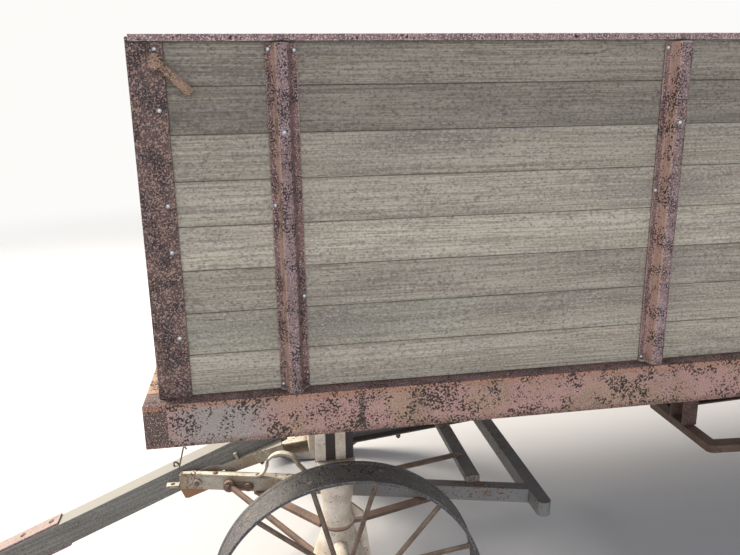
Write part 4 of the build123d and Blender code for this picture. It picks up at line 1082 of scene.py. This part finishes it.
@dataclass
class BoardWall:
    """Tongue-and-groove boards that stand for one CAD wall.

    Attributes:
        node: CAD wall.
        body: CAD body that carries it.
        along: Direction of the boards.
        out: Direction of the outer face.
        tones: Lightness of each board from the bottom up.
        board: Height of a board.
        tongue: How far a board's tongue reaches into the next board.
        gap: Half the space between two boards.
        ease: Width of a worn edge.
        chips: How deep the upper edge is chipped, for each whole step of the noise past its start.
        settle: How far a board stands back from the wall's face, on the average.
        cup: How far a board's face is hollowed, on the average.
        station: Distance between two sections of a board.
    """

    node: str
    body: str
    along: Vector
    out: Vector
    tones: Sequence[float]
    board: float = 83 * MM
    tongue: float = 4 * MM
    gap: float = 0.5 * MM
    ease: float = 1.2 * MM
    chips: float = 12 * MM
    settle: float = 0.5 * MM
    cup: float = 0.35 * MM
    station: float = 40 * MM

    def section(self, low: float, high: float, thick: float, s: float, last: bool) -> Section:
        """Outline of a board as depth from the outer face against height.

        Args:
            low: Lower seam.
            high: Upper seam.
            thick: Thickness of the wall.
            s: Distance along the board.
            last: True for the top board, which has no tongue.

        Returns:
            The outline, worn differently at each distance along the board.
        """
        worn = [self.ease * (1 + 0.9 * noise.noise(Vector((s * 7, z * 40, k)))) for k, z in enumerate((low, high))]
        chip = max(0.0, noise.noise(Vector((s * 2.3, high * 23, 9))) - 0.42) * self.chips
        set_in = self.settle * (1 + noise.noise(Vector((s * 0.7, low * 19, 4))))
        hollow = set_in + self.cup * (1 + noise.noise(Vector((s * 3, low * 19, 7))))
        foot, head = low + self.gap, high - self.gap
        tip = head - 1 * MM if last else high + self.tongue
        groove = foot + self.tongue + 1 * MM
        a, b = thick * 0.35, thick * 0.65
        return [
            (set_in, foot + worn[0]),
            (hollow, (low + high) / 2),
            (set_in, head - worn[1] - chip),
            (set_in + worn[1] + chip * 0.5, head),
            *((a, head), (a, tip), (b, tip), (b, head)),
            (thick - worn[1], head),
            (thick, head - worn[1]),
            (thick, foot + worn[0]),
            (thick - worn[0], foot),
            *((b, foot), (b, groove), (a, groove), (a, foot)),
            (set_in + worn[0], foot),
        ]

    def build(self, finish: Finish) -> bpy.types.Object:
        """Make the boards.

        Args:
            finish: Their wood.

        Returns:
            One piece with all the boards of the wall.
        """
        low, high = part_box(self.node)
        middle, half = (low + high) / 2, (high - low) / 2
        reach, deep = abs(half.dot(self.along)), abs(half.dot(self.out))
        corner = middle + self.out * deep - self.along * reach
        corner.z = 0.0
        seams = [SILL_BOX[1].z + i * self.board for i in range(len(self.tones) + 1)]
        stations = max(2, round(2 * reach / self.station))
        pick = Random(self.node)
        mould = Mould()
        for i, tone in enumerate(self.tones):
            foot, head = max(seams[i], low.z), min(seams[i + 1], high.z)
            last = i == len(self.tones) - 1
            rings = []
            for k in range(stations + 1):
                s = 2 * reach * k / stations
                outline = self.section(foot, head, 2 * deep, s, last)
                rings.append([corner + self.along * s - self.out * t + UP * z for t, z in outline])
            mould.loft(rings, pick.random(), tone)
        made = mould.piece(f"{self.node}_boards", self.body, finish, Slot.BOARDS)
        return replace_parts(made, self.node)


@dataclass
class BoxBody:
    """The board-sided box: walls, floor, posts, rolled stakes, rail, tie rods and their bolts.

    Attributes:
        tones: Lightness of the side boards from the bottom up.
        planks: Planks across the floor.
        plank_gap: Half the space between two planks.
        plank_steps: Lengths into which a plank's wear is cut.
        plank_seed: Start of the random draws for the planks.
        stakes: Stakes on each side.
        stake: Half of the stake's outline in mm, as distance across against depth, from flange to crown.
        inner: The same for the bottom of the stake's hollow, both halves.
        bends: Where each of the outline's corners starts to bend, in mm.
        stake_steps: Lengths into which a stake's dents are cut.
        weld: Corners of the weld at a stake's foot, in mm like its outline.
        stake_bolts: Bolts of a side stake in mm, as distance forward of its middle, height and depth from the wall.
        crown: Depth of a stake's crown in mm; a bolt there doesn't reach the wall.
        post_bolts: Heights of the bolts in a front post, in mm.
        post_inset: Distance of those bolts from the front of the post.
        bolt_r: Radius of a bolt head.
        bolt_seed: Start of the random draws for the bolts.
        knob: Profile of a box rod's end in mm.
        knob_r: Distance of a box rod's middle line from the ends of its CAD box.
    """

    tones: tuple[float, ...] = (0.75, 0.63, 0.47, 0.96, 0.72, 0.54, 0.05, 0.2)
    planks: int = 12
    plank_gap: float = 1.2 * MM
    plank_steps: int = 54
    plank_seed: int = 12
    stakes: int = 6
    stake: tuple[tuple[float, float], ...] = ((12.5, 0), (28.5, 0), (28.5, 4), (16.5, 4), (11, 30))
    inner: tuple[tuple[float, float], ...] = ((-7, 26), (7, 26))
    bends: tuple[float, ...] = (6, 0.8, 0.8, 5, 5)
    stake_steps: int = 13
    weld: tuple[tuple[float, float], ...] = ((27, 5), (16, 8), (11, 28))
    stake_bolts: tuple[tuple[float, float, float], ...] = (
        (23, 1703, 4),
        (-23, 1703, 4),
        (22.5, 1429, 4),
        (0, 1561, 30),
        (-22.5, 1250, 4),
        (22.5, 1072, 4),
    )
    crown: float = 30
    post_bolts: tuple[float, ...] = (1704, 1602, 1434, 1348, 1182)
    post_inset: float = 48 * MM
    bolt_r: float = 4.6 * MM
    bolt_seed: int = 3
    knob: tuple[tuple[float, float], ...] = (
        *((-6, 11), (-5, 13.2), (-2, 14), (1, 13.2)),
        *((3.2, 11), (4.8, 7.5), (5.6, 4), (5.8, 1)),
    )
    knob_r: float = 12 * MM

    def stake_section(self) -> Section:
        """Outline of a rolled stake.

        Returns:
            The outline with round bends, as distance across against depth.
        """
        right = [(x * MM, d * MM) for x, d in self.stake]
        left = [(-x, d) for x, d in reversed(right)]
        hollow = [(x * MM, d * MM) for x, d in self.inner]
        reach = [r * MM for r in self.bends]
        return eased([*right, *left, *hollow], [*reach, *reversed(reach), 3 * MM, 3 * MM])

    def rolled(self, node: str, feet: Sequence[Vector], across: Sequence[Vector]) -> bpy.types.Object:
        """Roll the stakes of one CAD node, with small dents and a weld at each foot.

        Args:
            node: CAD node with the plain stakes, for their height.
            feet: Where each stake stands on its wall.
            across: Direction across each stake.

        Returns:
            One piece with the stakes.
        """
        low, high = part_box(node)
        outline, mould, pick = self.stake_section(), Mould(), Random(node)
        for foot, wide in zip(feet, across):
            out, seed = UP.cross(wide), pick.random()
            rings = []
            for k in range(self.stake_steps + 1):
                z = low.z + (high.z - low.z) * k / self.stake_steps
                dent = 0.5 * MM * noise.noise(Vector((foot.x * 5, foot.y * 5, z * 6)))
                flat = 1 - abs(dent) / (30 * MM)
                rings.append([Vector((foot.x, foot.y, z)) + wide * v + out * d * flat for v, d in outline])
            mould.loft(rings, seed)
            lift = UP * (low.z + 1.5 * MM)
            for way in (-1, 1):
                start, end, tip = (foot + wide * way * v * MM + out * d * MM + lift for v, d in self.weld)
                mould.bead(start, end, 2.6 * MM, seed)
                mould.bead(end, tip, 2.6 * MM, seed)
        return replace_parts(mould.piece(f"{node}_rolled", "wagon", CROWNED), node)

    def floor(self) -> bpy.types.Object:
        """Lay the floor planks.

        Returns:
            One piece with all the planks.
        """
        low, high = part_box("floor")
        width = (high.y - low.y) / self.planks
        mould, pick = Mould(), Random(self.plank_seed)
        for i in range(self.planks):
            left, right = low.y + i * width + self.plank_gap, low.y + (i + 1) * width - self.plank_gap
            sag, rings = pick.uniform(0, 1.2) * MM, []
            for k in range(self.plank_steps + 1):
                x = low.x + (high.x - low.x) * k / self.plank_steps
                top = high.z - sag - 0.6 * MM * (1 + noise.noise(Vector((x * 2, i, 0))))
                corners = [(left, low.z), (right, low.z), (right, top), (left, top)]
                worn = 3 * MM * (1 + 0.6 * noise.noise(Vector((x * 6, i, 3))))
                outline = eased(corners, (1 * MM, 1 * MM, worn, worn), 2)
                rings.append([Vector((x, y, z)) for y, z in outline])
            mould.loft(rings, pick.random(), pick.uniform(0.3, 0.7))
        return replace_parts(mould.piece("floor_planks", "wagon", FLOORING, Slot.FLOOR), "floor")

    def bolts(self, feet: Sequence[Vector]) -> Mould:
        """Set the bolts of the side stakes and front posts, with the carriage heads inside the box.

        Args:
            feet: Where the left stakes stand.

        Returns:
            The bolts of both sides.
        """
        low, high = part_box("side_wall_left")
        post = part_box("corner_posts")[1]
        head, inside = bolt_head(self.bolt_r, 3 * MM), bolt_head(8 * MM, 3.2 * MM)
        mould, pick = Mould(), Random(self.bolt_seed)
        for side in Side:
            for foot in feet:
                for dx, z, depth in self.stake_bolts:
                    x = foot.x + (dx + pick.uniform(-1.5, 1.5)) * MM
                    z = (z + pick.uniform(-2, 2)) * MM
                    y = side.value * (high.y + depth * MM)
                    mould.turned(Vector((x, y, z)), side.out, head, sides=14, seed=pick.random())
                    if depth < self.crown:
                        spot = Vector((x, side.value * low.y, z))
                        mould.turned(spot, -side.out, inside, sides=16, seed=pick.random())
            for z in self.post_bolts:
                spot = Vector((post.x - self.post_inset, side.value * post.y, z * MM))
                mould.turned(spot, side.out, head, sides=14, seed=pick.random())
        return mould

    def knobs(self) -> Mould:
        """Make the forged ends of the box rods, on the left.

        Returns:
            Both ends.
        """
        mould = Mould()
        low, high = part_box("box_rods")
        profile = [(a * MM, r * MM) for a, r in self.knob]
        for x in (low.x, high.x):
            inset = self.knob_r if x > 0 else -self.knob_r
            mould.turned(Vector((x - inset, high.y, high.z - self.knob_r)), Side.LEFT.out, profile, sides=28)
        return mould

    def build(self) -> Pieces:
        """Make the box.

        Returns:
            Its pieces.
        """
        left = Side.LEFT.out
        walls = (
            (BoardWall("side_wall_left", "wagon", FORWARD, left, self.tones), WEATHERED),
            (BoardWall("side_wall_right", "wagon", FORWARD, -left, self.tones[::-1]), WEATHERED),
            (BoardWall("front_wall", "wagon", left, FORWARD, self.tones[2:] + self.tones[:2]), ACROSS),
        )
        low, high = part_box("side_stakes")
        wall_x, wall_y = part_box("front_wall")[1].x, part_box("side_wall_left")[1].y
        half = self.stake[1][0] * MM
        pitch = (high.x - low.x - 2 * half) / (self.stakes - 1)
        feet = [Vector((high.x - half - i * pitch, wall_y, 0)) for i in range(self.stakes)]
        mirrored = [Vector((foot.x, -wall_y, 0)) for foot in feet]
        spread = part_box("front_stakes")[1].y - half
        feet_front = [Vector((wall_x, y, 0)) for y in (-spread, spread)]
        return [
            *(wall.build(finish) for wall, finish in walls),
            self.floor(),
            self.rolled("side_stakes", feet + mirrored, [FORWARD] * self.stakes + [-FORWARD] * self.stakes),
            self.rolled("front_stakes", feet_front, [-left, -left]),
            self.bolts(feet).piece("box_bolts", "wagon", ZINC),
            self.knobs().piece("box_rod_ends", "wagon", HANDLED),
            dress("corner_posts", POSTED),
            dress("box_rods", HANDLED, 3 * MM, clamp=True),
            dress("top_rail", RAILED),
        ]


@dataclass
class BoxFrame:
    """Folded sills, joists and long sills under the box.

    Attributes:
        ease: Width of the sills' eased edges.
    """

    ease: float = 2.5 * MM

    def build(self) -> Pieces:
        """Dress the frame.

        Returns:
            Its pieces.
        """
        return [
            dress("side_sills", PRIMER, self.ease),
            dress("end_sills", END_PRIMER, self.ease),
            dress("cross_joists", JOISTS, 3 * MM),
            dress("long_sills", SILLS, 4 * MM),
        ]


# Trucks


@dataclass
class Truck:
    """Fittings that the two trucks share.

    Attributes:
        prefix: Start of the truck's CAD names.
        body: CAD body that carries it.
        plate_bolt: Where a bolt sits from the middle of a yoke plate, in x and y.
        plate_y: Distance of a yoke plate's middle from the outer end of the yokes.
        plate_z: Distance of a yoke plate's underside from the top of the yokes.
    """

    prefix: str
    body: str
    plate_bolt: tuple[float, float] = (52 * MM, 22 * MM)
    plate_y: float = 35 * MM
    plate_z: float = 10 * MM

    def plate_bolts(self, mould: Mould) -> None:
        """Hang four bolts under each yoke plate.

        Args:
            mould: Mould that gets the bolts.
        """
        low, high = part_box(f"{self.prefix}_yokes")
        x, y = (low.x + high.x) / 2, high.y - self.plate_y
        ahead, aside = self.plate_bolt
        for side in Side:
            for dx in (-ahead, ahead):
                for dy in (-aside, aside):
                    under = Vector((x + dx, side.value * y + dy, high.z - self.plate_z))
                    mould.turned(under, -UP, NUT, HEX, dx + dy)

    def base(self) -> Pieces:
        """Dress the axle, columns and yokes.

        Returns:
            Their objects.
        """
        return [
            dress(f"{self.prefix}_axle", CAST, 2 * MM),
            dress(f"{self.prefix}_columns", CAST, 1 * MM, clamp=True),
            dress(f"{self.prefix}_yokes", CAST, 2 * MM),
        ]


@dataclass
class FrontTruck(Truck):
    """The turning truck: hounds that grip the tongue, their irons, the link plate and the hook rod.

    Attributes:
        nose_x: Front end of a hound, ahead of the axle.
        nose_y: Outer face of a hound at its nose.
        splay: Angle by which a hound spreads towards its tail.
        mid: Height of the link plate's middle over the hound's top.
        link_x: Ends of the link plate on the hound's face, ahead of the axle.
        strap_bolts_x: Bolts through the strap on top of the hound, ahead of the axle.
        brace_x: Bolts through the feet of the front and rear braces, ahead of the axle.
        top: Height of a hound's top where it passes over the axle.
        rise: How fast a hound climbs towards its nose.
        hook: Bends of the hook rod in mm, as distance ahead of the axle, distance to the left and height.
    """

    nose_x: float = 495 * MM
    nose_y: float = 62 * MM
    splay: float = radians(13)
    mid: float = -27 * MM
    link_x: tuple[float, float] = (327 * MM, 263 * MM)
    strap_bolts_x: tuple[float, float] = (375 * MM, 232 * MM)
    brace_x: tuple[float, float] = (222 * MM, -316 * MM)
    top: float = 376.5 * MM
    rise: float = tan(radians(1.17))
    hook: tuple[Place, ...] = (
        *((463, 55, 478), (467, 55, 486), (472, 55, 486)),
        *((475, 56, 476), (492, 61, 412), (491, 62, 404)),
    )

    def on_hound(self, side: Side, x: float, z: float, out: float = 0.0) -> Vector:
        """Find a point on a hound's outer face.

        Args:
            side: Which hound.
            x: Distance ahead of the axle.
            z: Height above the hound's top there.
            out: Distance outside the face.

        Returns:
            The point.
        """
        y = self.nose_y + (self.nose_x - x) * tan(self.splay)
        z += self.top + x * self.rise
        return Vector((AXLE_X + x + out * sin(self.splay), side.value * (y + out * cos(self.splay)), z))

    def fittings(self) -> Mould:
        """Make the nuts, link plates, strap bolts and the heads of the tongue pin.

        Returns:
            All of them.
        """
        mould = Mould()
        for side in Side:
            face = Vector((sin(self.splay), side.value * cos(self.splay), 0))
            start, end = (self.on_hound(side, x, self.mid, 4 * MM) for x in self.link_x)
            reach = (end - start).normalized() * 16 * MM
            mould.flat([start - reach, start, end, end + reach], UP, width=21 * MM, thick=7 * MM, seed=0.2)
            rear = self.on_hound(side, self.link_x[1], self.mid, 7 * MM)
            mould.turned(rear, face, nut(14 * MM, 9 * MM), sides=24, seed=0.4)
            front = self.on_hound(side, self.link_x[0], self.mid + 2 * MM, 20 * MM)
            mould.turned(front, face, nut(12 * MM, 9 * MM), HEX, seed=0.6)
            for x in self.strap_bolts_x:
                spot = self.on_hound(side, x, 8 * MM, -11 * MM)
                mould.turned(spot, UP, bolt_head(7 * MM, 4 * MM, washer=9.5 * MM), sides=16, seed=x)
            for x in self.brace_x:
                mould.turned(self.on_hound(side, x, -63 * MM, -20 * MM), -UP, NUT, HEX, x)
            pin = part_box("tongue_pin")
            spot = Vector(((pin[0].x + pin[1].x) / 2, side.value * pin[1].y, (pin[0].z + pin[1].z) / 2))
            mould.turned(spot, side.out, bolt_head(9 * MM, 3 * MM), sides=20, seed=0.5)
        self.plate_bolts(mould)
        return mould

    def hook_rod(self) -> Mould:
        """Bend the thin rod that hooks over beside the tongue on the left.

        Returns:
            The rod.
        """
        mould = Mould()
        mould.tube([Vector((AXLE_X + x * MM, y * MM, z * MM)) for x, y, z in self.hook], 2.6 * MM)
        return mould

    def build(self) -> Pieces:
        """Make the front truck.

        Returns:
            Its pieces.
        """
        return [
            *self.base(),
            dress("front_hounds", CREAM, 3 * MM),
            dress("hound_cross_bars", CREAM, 3 * MM),
            dress("bow_irons", CREAM),
            dress("tongue_pin", CREAM),
            dress("hound_braces", BROWN),
            dress("sand_board", JOISTS, 4 * MM),
            self.fittings().piece("front_truck_fittings", self.body, RUSTED),
            self.hook_rod().piece("hook_rod", self.body, BROWN, Slot.BROWN),
        ]


@dataclass
class RearTruck(Truck):
    """The fixed truck: bolster, reach, bent frame and clamp.

    Attributes:
        clamp_x: Distance of the clamp's bolts from its ends.
        clamp_z: Distance of its side bolts from its top.
    """

    clamp_x: float = 15 * MM
    clamp_z: float = 44 * MM

    def fittings(self) -> Mould:
        """Make the yoke bolts and the clamp's nuts.

        Returns:
            All of them.
        """
        mould = Mould()
        self.plate_bolts(mould)
        low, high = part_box("reach_clamp")
        for x in (low.x + self.clamp_x, high.x - self.clamp_x):
            mould.turned(Vector((x, 0, high.z)), UP, NUT, HEX, x)
            for side in Side:
                mould.turned(Vector((x, side.value * high.y, high.z - self.clamp_z)), side.out, NUT, HEX, x)
        return mould

    def build(self) -> Pieces:
        """Make the rear truck and what ties it to the front.

        Returns:
            Its pieces.
        """
        return [
            *self.base(),
            dress("rear_hounds", BROWN, 2 * MM),
            dress("reach_clamp", RUSTED, 2 * MM),
            dress("king_bolt", RUSTED, 2 * MM),
            dress("bolsters", JOISTS, 4 * MM),
            dress("reach", SILLS, 4 * MM),
            self.fittings().piece("rear_truck_fittings", self.body, RUSTED),
        ]


@dataclass
class Tongue:
    """The stub tongue: its bolts and the eye on its top.

    Attributes:
        pin_x: Hinge pin ahead of the front axle.
        pin_z: Height of the hinge pin.
        half_width: Half the timber's width.
        strap_bolts: Bolts through the hitch straps, ahead of the pin along the tongue.
        strap_faces: Height of the straps' outer faces over the pin, carried back to the pin.
        run: Distance along the tongue over which those faces sink.
        sink: How far they sink over it.
        iron_bolts: Bolts through the side irons, on the same line as the others.
        eye: Foot of the eye along the tongue, over the pin and to the left.
        eye_size: Half the eye's width and its height.
        eye_steps: Pieces in its bend.
    """

    pin_x: float = 435 * MM
    pin_z: float = 362 * MM
    half_width: float = 35 * MM
    strap_bolts: tuple[float, ...] = (520 * MM, 625 * MM, 730 * MM)
    strap_faces: tuple[float, float] = (69 * MM, -31 * MM)
    run: float = 770 * MM
    sink: float = 32 * MM
    iron_bolts: tuple[float, ...] = (-285 * MM, -120 * MM)
    eye: Place = (54 * MM, 57 * MM, 12 * MM)
    eye_size: tuple[float, float] = (8 * MM, 15 * MM)
    eye_steps: int = 12

    def at(self, u: float, w: float, y: float = 0.0) -> Vector:
        """Find a point in the tongue's own side view.

        Args:
            u: Distance ahead of the pin along the tongue.
            w: Height above the pin, square to the tongue.
            y: Distance to the left.

        Returns:
            The point in the frame.
        """
        ahead, lift = Vector((cos(DROP), 0, -sin(DROP))), Vector((sin(DROP), 0, cos(DROP)))
        return Vector((AXLE_X + self.pin_x, y, self.pin_z)) + ahead * u + lift * w

    def fittings(self) -> Mould:
        """Make the bolts and the eye.

        Returns:
            All of them.
        """
        mould = Mould()
        lift = self.at(0, 1) - self.at(0, 0)
        upper, lower = self.strap_faces
        for u in self.strap_bolts:
            sunk = self.sink * (u / self.run)
            mould.turned(self.at(u, upper - sunk), lift, bolt_head(10 * MM, 5 * MM), sides=18, seed=u)
            mould.turned(self.at(u, lower - sunk), -lift, nut(10 * MM, 8 * MM), HEX, u)
        for side in Side:
            for u in self.iron_bolts:
                spot = self.at(u, -3 * MM, side.value * (self.half_width + 6 * MM))
                mould.turned(spot, side.out, bolt_head(5 * MM, 3 * MM), sides=18, seed=u)
        angles = (pi * i / self.eye_steps for i in range(self.eye_steps + 1))
        (u, w, y), (wide, tall) = self.eye, self.eye_size
        mould.tube([self.at(u + wide * cos(a), w + tall * sin(a), y) for a in angles], 3.2 * MM)
        return mould

    def build(self) -> Pieces:
        """Make the tongue.

        Returns:
            Its pieces.
        """
        return [
            dress("tongue_pole", TONGUE_WOOD, 4 * MM),
            dress("hitch_straps", STRAPPED),
            dress("side_irons", CREAM),
            self.fittings().piece("tongue_fittings", "tongue", RUSTED),
        ]


@dataclass
class RearGate:
    """The dropping gate: boards, battens and their bolts.

    Attributes:
        tones: Lightness of the boards from the bottom up.
        batten: Thickness of a batten.
        battens_y: Middle lines of the battens.
        bolt_seed: Start of the random draws for the bolts.
    """

    tones: tuple[float, ...] = (0.4, 0.62, 0.5, 0.7, 0.46, 0.58, 0.36, 0.5)
    batten: float = 12 * MM
    battens_y: tuple[float, ...] = (-600 * MM, 0.0, 600 * MM)
    bolt_seed: int = 8

    def build(self) -> Pieces:
        """Make the gate and the lugs that it hangs on.

        Returns:
            Its pieces.
        """
        aft = Vector((-1, 0, 0))
        low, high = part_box("gate_boards")
        board = (high.z - low.z) / len(self.tones)
        bolts, pick = Mould(), Random(self.bolt_seed)
        for batten_y in self.battens_y:
            for i in range(len(self.tones)):
                y, z = batten_y + pick.uniform(-8, 8) * MM, low.z + (i + 0.5) * board
                for x, way, height in ((low.x - self.batten, aft, 3.4 * MM), (high.x, FORWARD, 2.6 * MM)):
                    head = bolt_head(8 * MM, height)
                    bolts.turned(Vector((x, y, z)), way, head, sides=16, seed=pick.random())
        return [
            BoardWall("gate_boards", "rear_gate", Side.LEFT.out, aft, self.tones).build(ACROSS),
            bolts.piece("gate_bolts", "rear_gate", RUSTED),
            dress("gate_battens", RUSTED, 2 * MM),
            dress("gate_lugs", RUSTED),
        ]


@dataclass
class Wheel:
    """One steel wheel: spoke ends riveted through the rim, and a hub with its axle nut.

    Attributes:
        name: CAD body of the wheel.
        side: Side of the wagon.
        spokes: Number of spokes.
        recess: Depth of the tread between its two edge beads.
        rim: Depth of the rim's inner face under the tread's edge.
        stagger: How far a spoke's end is from the middle of the rim.
        cap: Profile of the hub's cap in mm.
        split: Direction of the split pin.
        split_half: Half the length of the split pin.
    """

    name: str
    side: Side
    spokes: int = 12
    recess: float = 3 * MM
    rim: float = 8 * MM
    stagger: float = 12.75 * MM
    cap: tuple[tuple[float, float], ...] = ((-1, 30), (2.5, 30), (4.5, 27), (4.5, 20), (2, 19), (2, 17))
    split: Place = (0.6, 0, 0.8)
    split_half: float = 24 * MM

    def fittings(self) -> Mould:
        """Make the rivets, the spoke nuts and the axle nut.

        Returns:
            All of them.
        """
        low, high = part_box(f"{self.name}_rim")
        centre, radius = (low + high) / 2, (high.z - low.z) / 2
        rivet, spoke_nut = bolt_head(8 * MM, 2.2 * MM), nut(11 * MM, 8 * MM)[:3]
        mould = Mould()
        for i in range(self.spokes):
            angle = tau * (i + 0.5) / self.spokes
            way = self.side.value if i % 2 == 0 else -self.side.value
            ray = Vector((sin(angle), 0, cos(angle)))
            end = centre + Vector((0, way * self.stagger, 0))
            seed = i / self.spokes
            mould.turned(end + ray * (radius - self.recess), ray, rivet, sides=14, seed=seed)
            mould.turned(end + ray * (radius - self.rim), -ray, spoke_nut, HEX, seed)
        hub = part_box(f"{self.name}_spokes")
        face = Vector((centre.x, hub[1].y if self.side is Side.LEFT else hub[0].y, centre.z))
        mould.turned(face, self.side.out, [(a * MM, r * MM) for a, r in self.cap], sides=28)
        mould.turned(face, self.side.out, nut(16 * MM, 14 * MM), HEX)
        pin, half = face + self.side.out * 9 * MM, Vector(self.split) * self.split_half
        mould.tube([pin - half, pin, pin + half], 2 * MM)
        return mould

    def build(self) -> Pieces:
        """Make the wheel.

        Returns:
            Its pieces.
        """
        return [
            dress(f"{self.name}_rim", WHEEL, 2 * MM),
            dress(f"{self.name}_spokes", SPOKED, 1 * MM),
            self.fittings().piece(f"{self.name}_fittings", self.name, SPOKED, Slot.WHEEL),
        ]


# Studio


@dataclass
class Studio:
    """Pale floor, soft light and the camera at the photograph's angle.

    Attributes:
        eye: Where the camera stands, from under the front axle.
        right: Direction of the picture's right.
        down: Direction of the picture's foot.
        lens: Focal length for a sensor 36 wide.
        floor_half: Half the width of the floor.
        fade: Distances from the middle where the floor starts to clear and where it is gone.
        lamps: Name, place, width, power and colour of each lamp.
        target: Point that the lamps face.
    """

    eye: Place = (0.180, 2.2555, 1.626)
    right: Place = (-0.98681, 0.16123, -0.01458)
    down: Place = (0.05500, 0.24921, -0.96689)
    lens: float = 34.004
    floor_half: float = 30.0
    fade: tuple[float, float] = (3.6, 10.0)
    lamps: tuple[tuple[str, Place, float, float, str], ...] = (
        ("key", (5.5, -3.0, 5.0), 3.0, 900.0, "#fff4e4"),
        ("fill", (1.5, 7.0, 3.2), 6.0, 215.0, "#f3f6ff"),
        ("back", (-6.0, -1.0, 4.5), 4.0, 220.0, "#fffaf2"),
    )
    target: Place = (0.6, 0, 0.9)

    def camera(self) -> None:
        """Set the scene's camera."""
        data = bpy.data.cameras.new("camera")
        data.lens, data.sensor_width, data.clip_end = self.lens, 36.0, 200.0
        made = bpy.data.objects.new("camera", data)
        bpy.context.scene.collection.objects.link(made)
        right, up = Vector(self.right).normalized(), -Vector(self.down).normalized()
        back = right.cross(up)
        turn = Matrix((right, back.cross(right), back)).transposed()
        made.matrix_world = Matrix.Translation(Vector(self.eye) + Vector((AXLE_X, 0, 0))) @ turn.to_4x4()
        bpy.context.scene.camera = made

    def floor(self) -> None:
        """Lay a wide pale floor that clears towards its edge, marked as stage."""
        half = self.floor_half
        mesh = bpy.data.meshes.new("studio_floor")
        corners = [(-half, -half, 0), (half, -half, 0), (half, half, 0), (-half, half, 0)]
        mesh.from_pydata([Vector(c) for c in corners], [], [[0, 1, 2, 3]])
        shader = Shader(bpy.data.materials.new("studio_floor_matte"))
        add = shader.add
        surface = add("BsdfPrincipled", {"Base Color": "#d3d4d7", "Roughness": 0.95, "Specular IOR Level": 0.1})
        away = add("VectorMath", {0: add("TexCoord").outputs["Object"]}, operation="LENGTH")
        gone = add("MapRange", {0: away, 1: self.fade[0], 2: self.fade[1]}, interpolation_type="SMOOTHSTEP")
        add("OutputMaterial", {0: add("MixShader", {0: gone, 1: surface, 2: add("BsdfTransparent")})})
        mesh.materials.append(shader.owner)
        made = bpy.data.objects.new("studio_floor", mesh)
        bpy.context.scene.collection.objects.link(made)
        made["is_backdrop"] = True

    def sky(self) -> None:
        """Light the room evenly, with a white ground that the camera and glossy or clear surfaces see."""
        world = bpy.data.worlds.new("studio")
        add = Shader(world).add
        light, seen = add("Background", {0: "#eef1f6", 1: 0.52}), add("Background", {0: "#fcfbf9", 1: 1.0})
        rays = add("LightPath").outputs
        shown = rays["Is Camera Ray"]
        for kind in ("Is Glossy Ray", "Is Transmission Ray"):
            shown = add("Math", {0: shown, 1: rays[kind]}, operation="MAXIMUM")
        add("OutputWorld", {0: add("MixShader", {0: shown, 1: light, 2: seen})})
        bpy.context.scene.world = world

    def lamp(self, name: str, place: Place, size: float, power: float, tint: str) -> None:
        """Hang a square lamp that faces the wagon.

        Args:
            name: Name of the lamp.
            place: Where it hangs.
            size: Width of its face.
            power: Power in watts.
            tint: Colour of its light.
        """
        data = bpy.data.lights.new(name, "AREA")
        data.size, data.energy, data.color = size, power, linear(tint)[:3]
        made = bpy.data.objects.new(name, data)
        made.location = place
        made.rotation_euler = (Vector(self.target) - Vector(place)).to_track_quat("-Z", "Y").to_euler()
        bpy.context.scene.collection.objects.link(made)

    def build(self) -> None:
        """Set floor, sky, lamps and camera, with plain colour management."""
        self.floor()
        self.sky()
        for lamp in self.lamps:
            self.lamp(*lamp)
        self.camera()
        bpy.context.scene.view_settings.view_transform = "Standard"


def write_sizes() -> None:
    """Put the CAD box and the visual model's box into lists, which are not kept."""
    boxes = {"cad": CAD_BOX, "visual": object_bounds()}
    {name: [list(low), list(high)] for name, (low, high) in boxes.items()}


def main() -> None:
    """Dress the wagon, set the studio and report each piece."""
    logging.basicConfig(level=logging.INFO, format="%(message)s")
    assemblies = (
        BoxBody(),
        BoxFrame(),
        RearTruck("rear", "wagon"),
        FrontTruck("front", "front_truck"),
        Tongue(),
        RearGate(),
        *(Wheel(f"wheel_{end}{side.name[0].lower()}", side) for end in "fr" for side in Side),
    )
    for assembly in assemblies:
        for piece in assembly.build():
            LOG.info("%s: %s, %d faces", type(assembly).__name__, piece.name, len(piece.data.polygons))
    Studio().build()
    write_sizes()


if __name__ == "__main__":
    main()
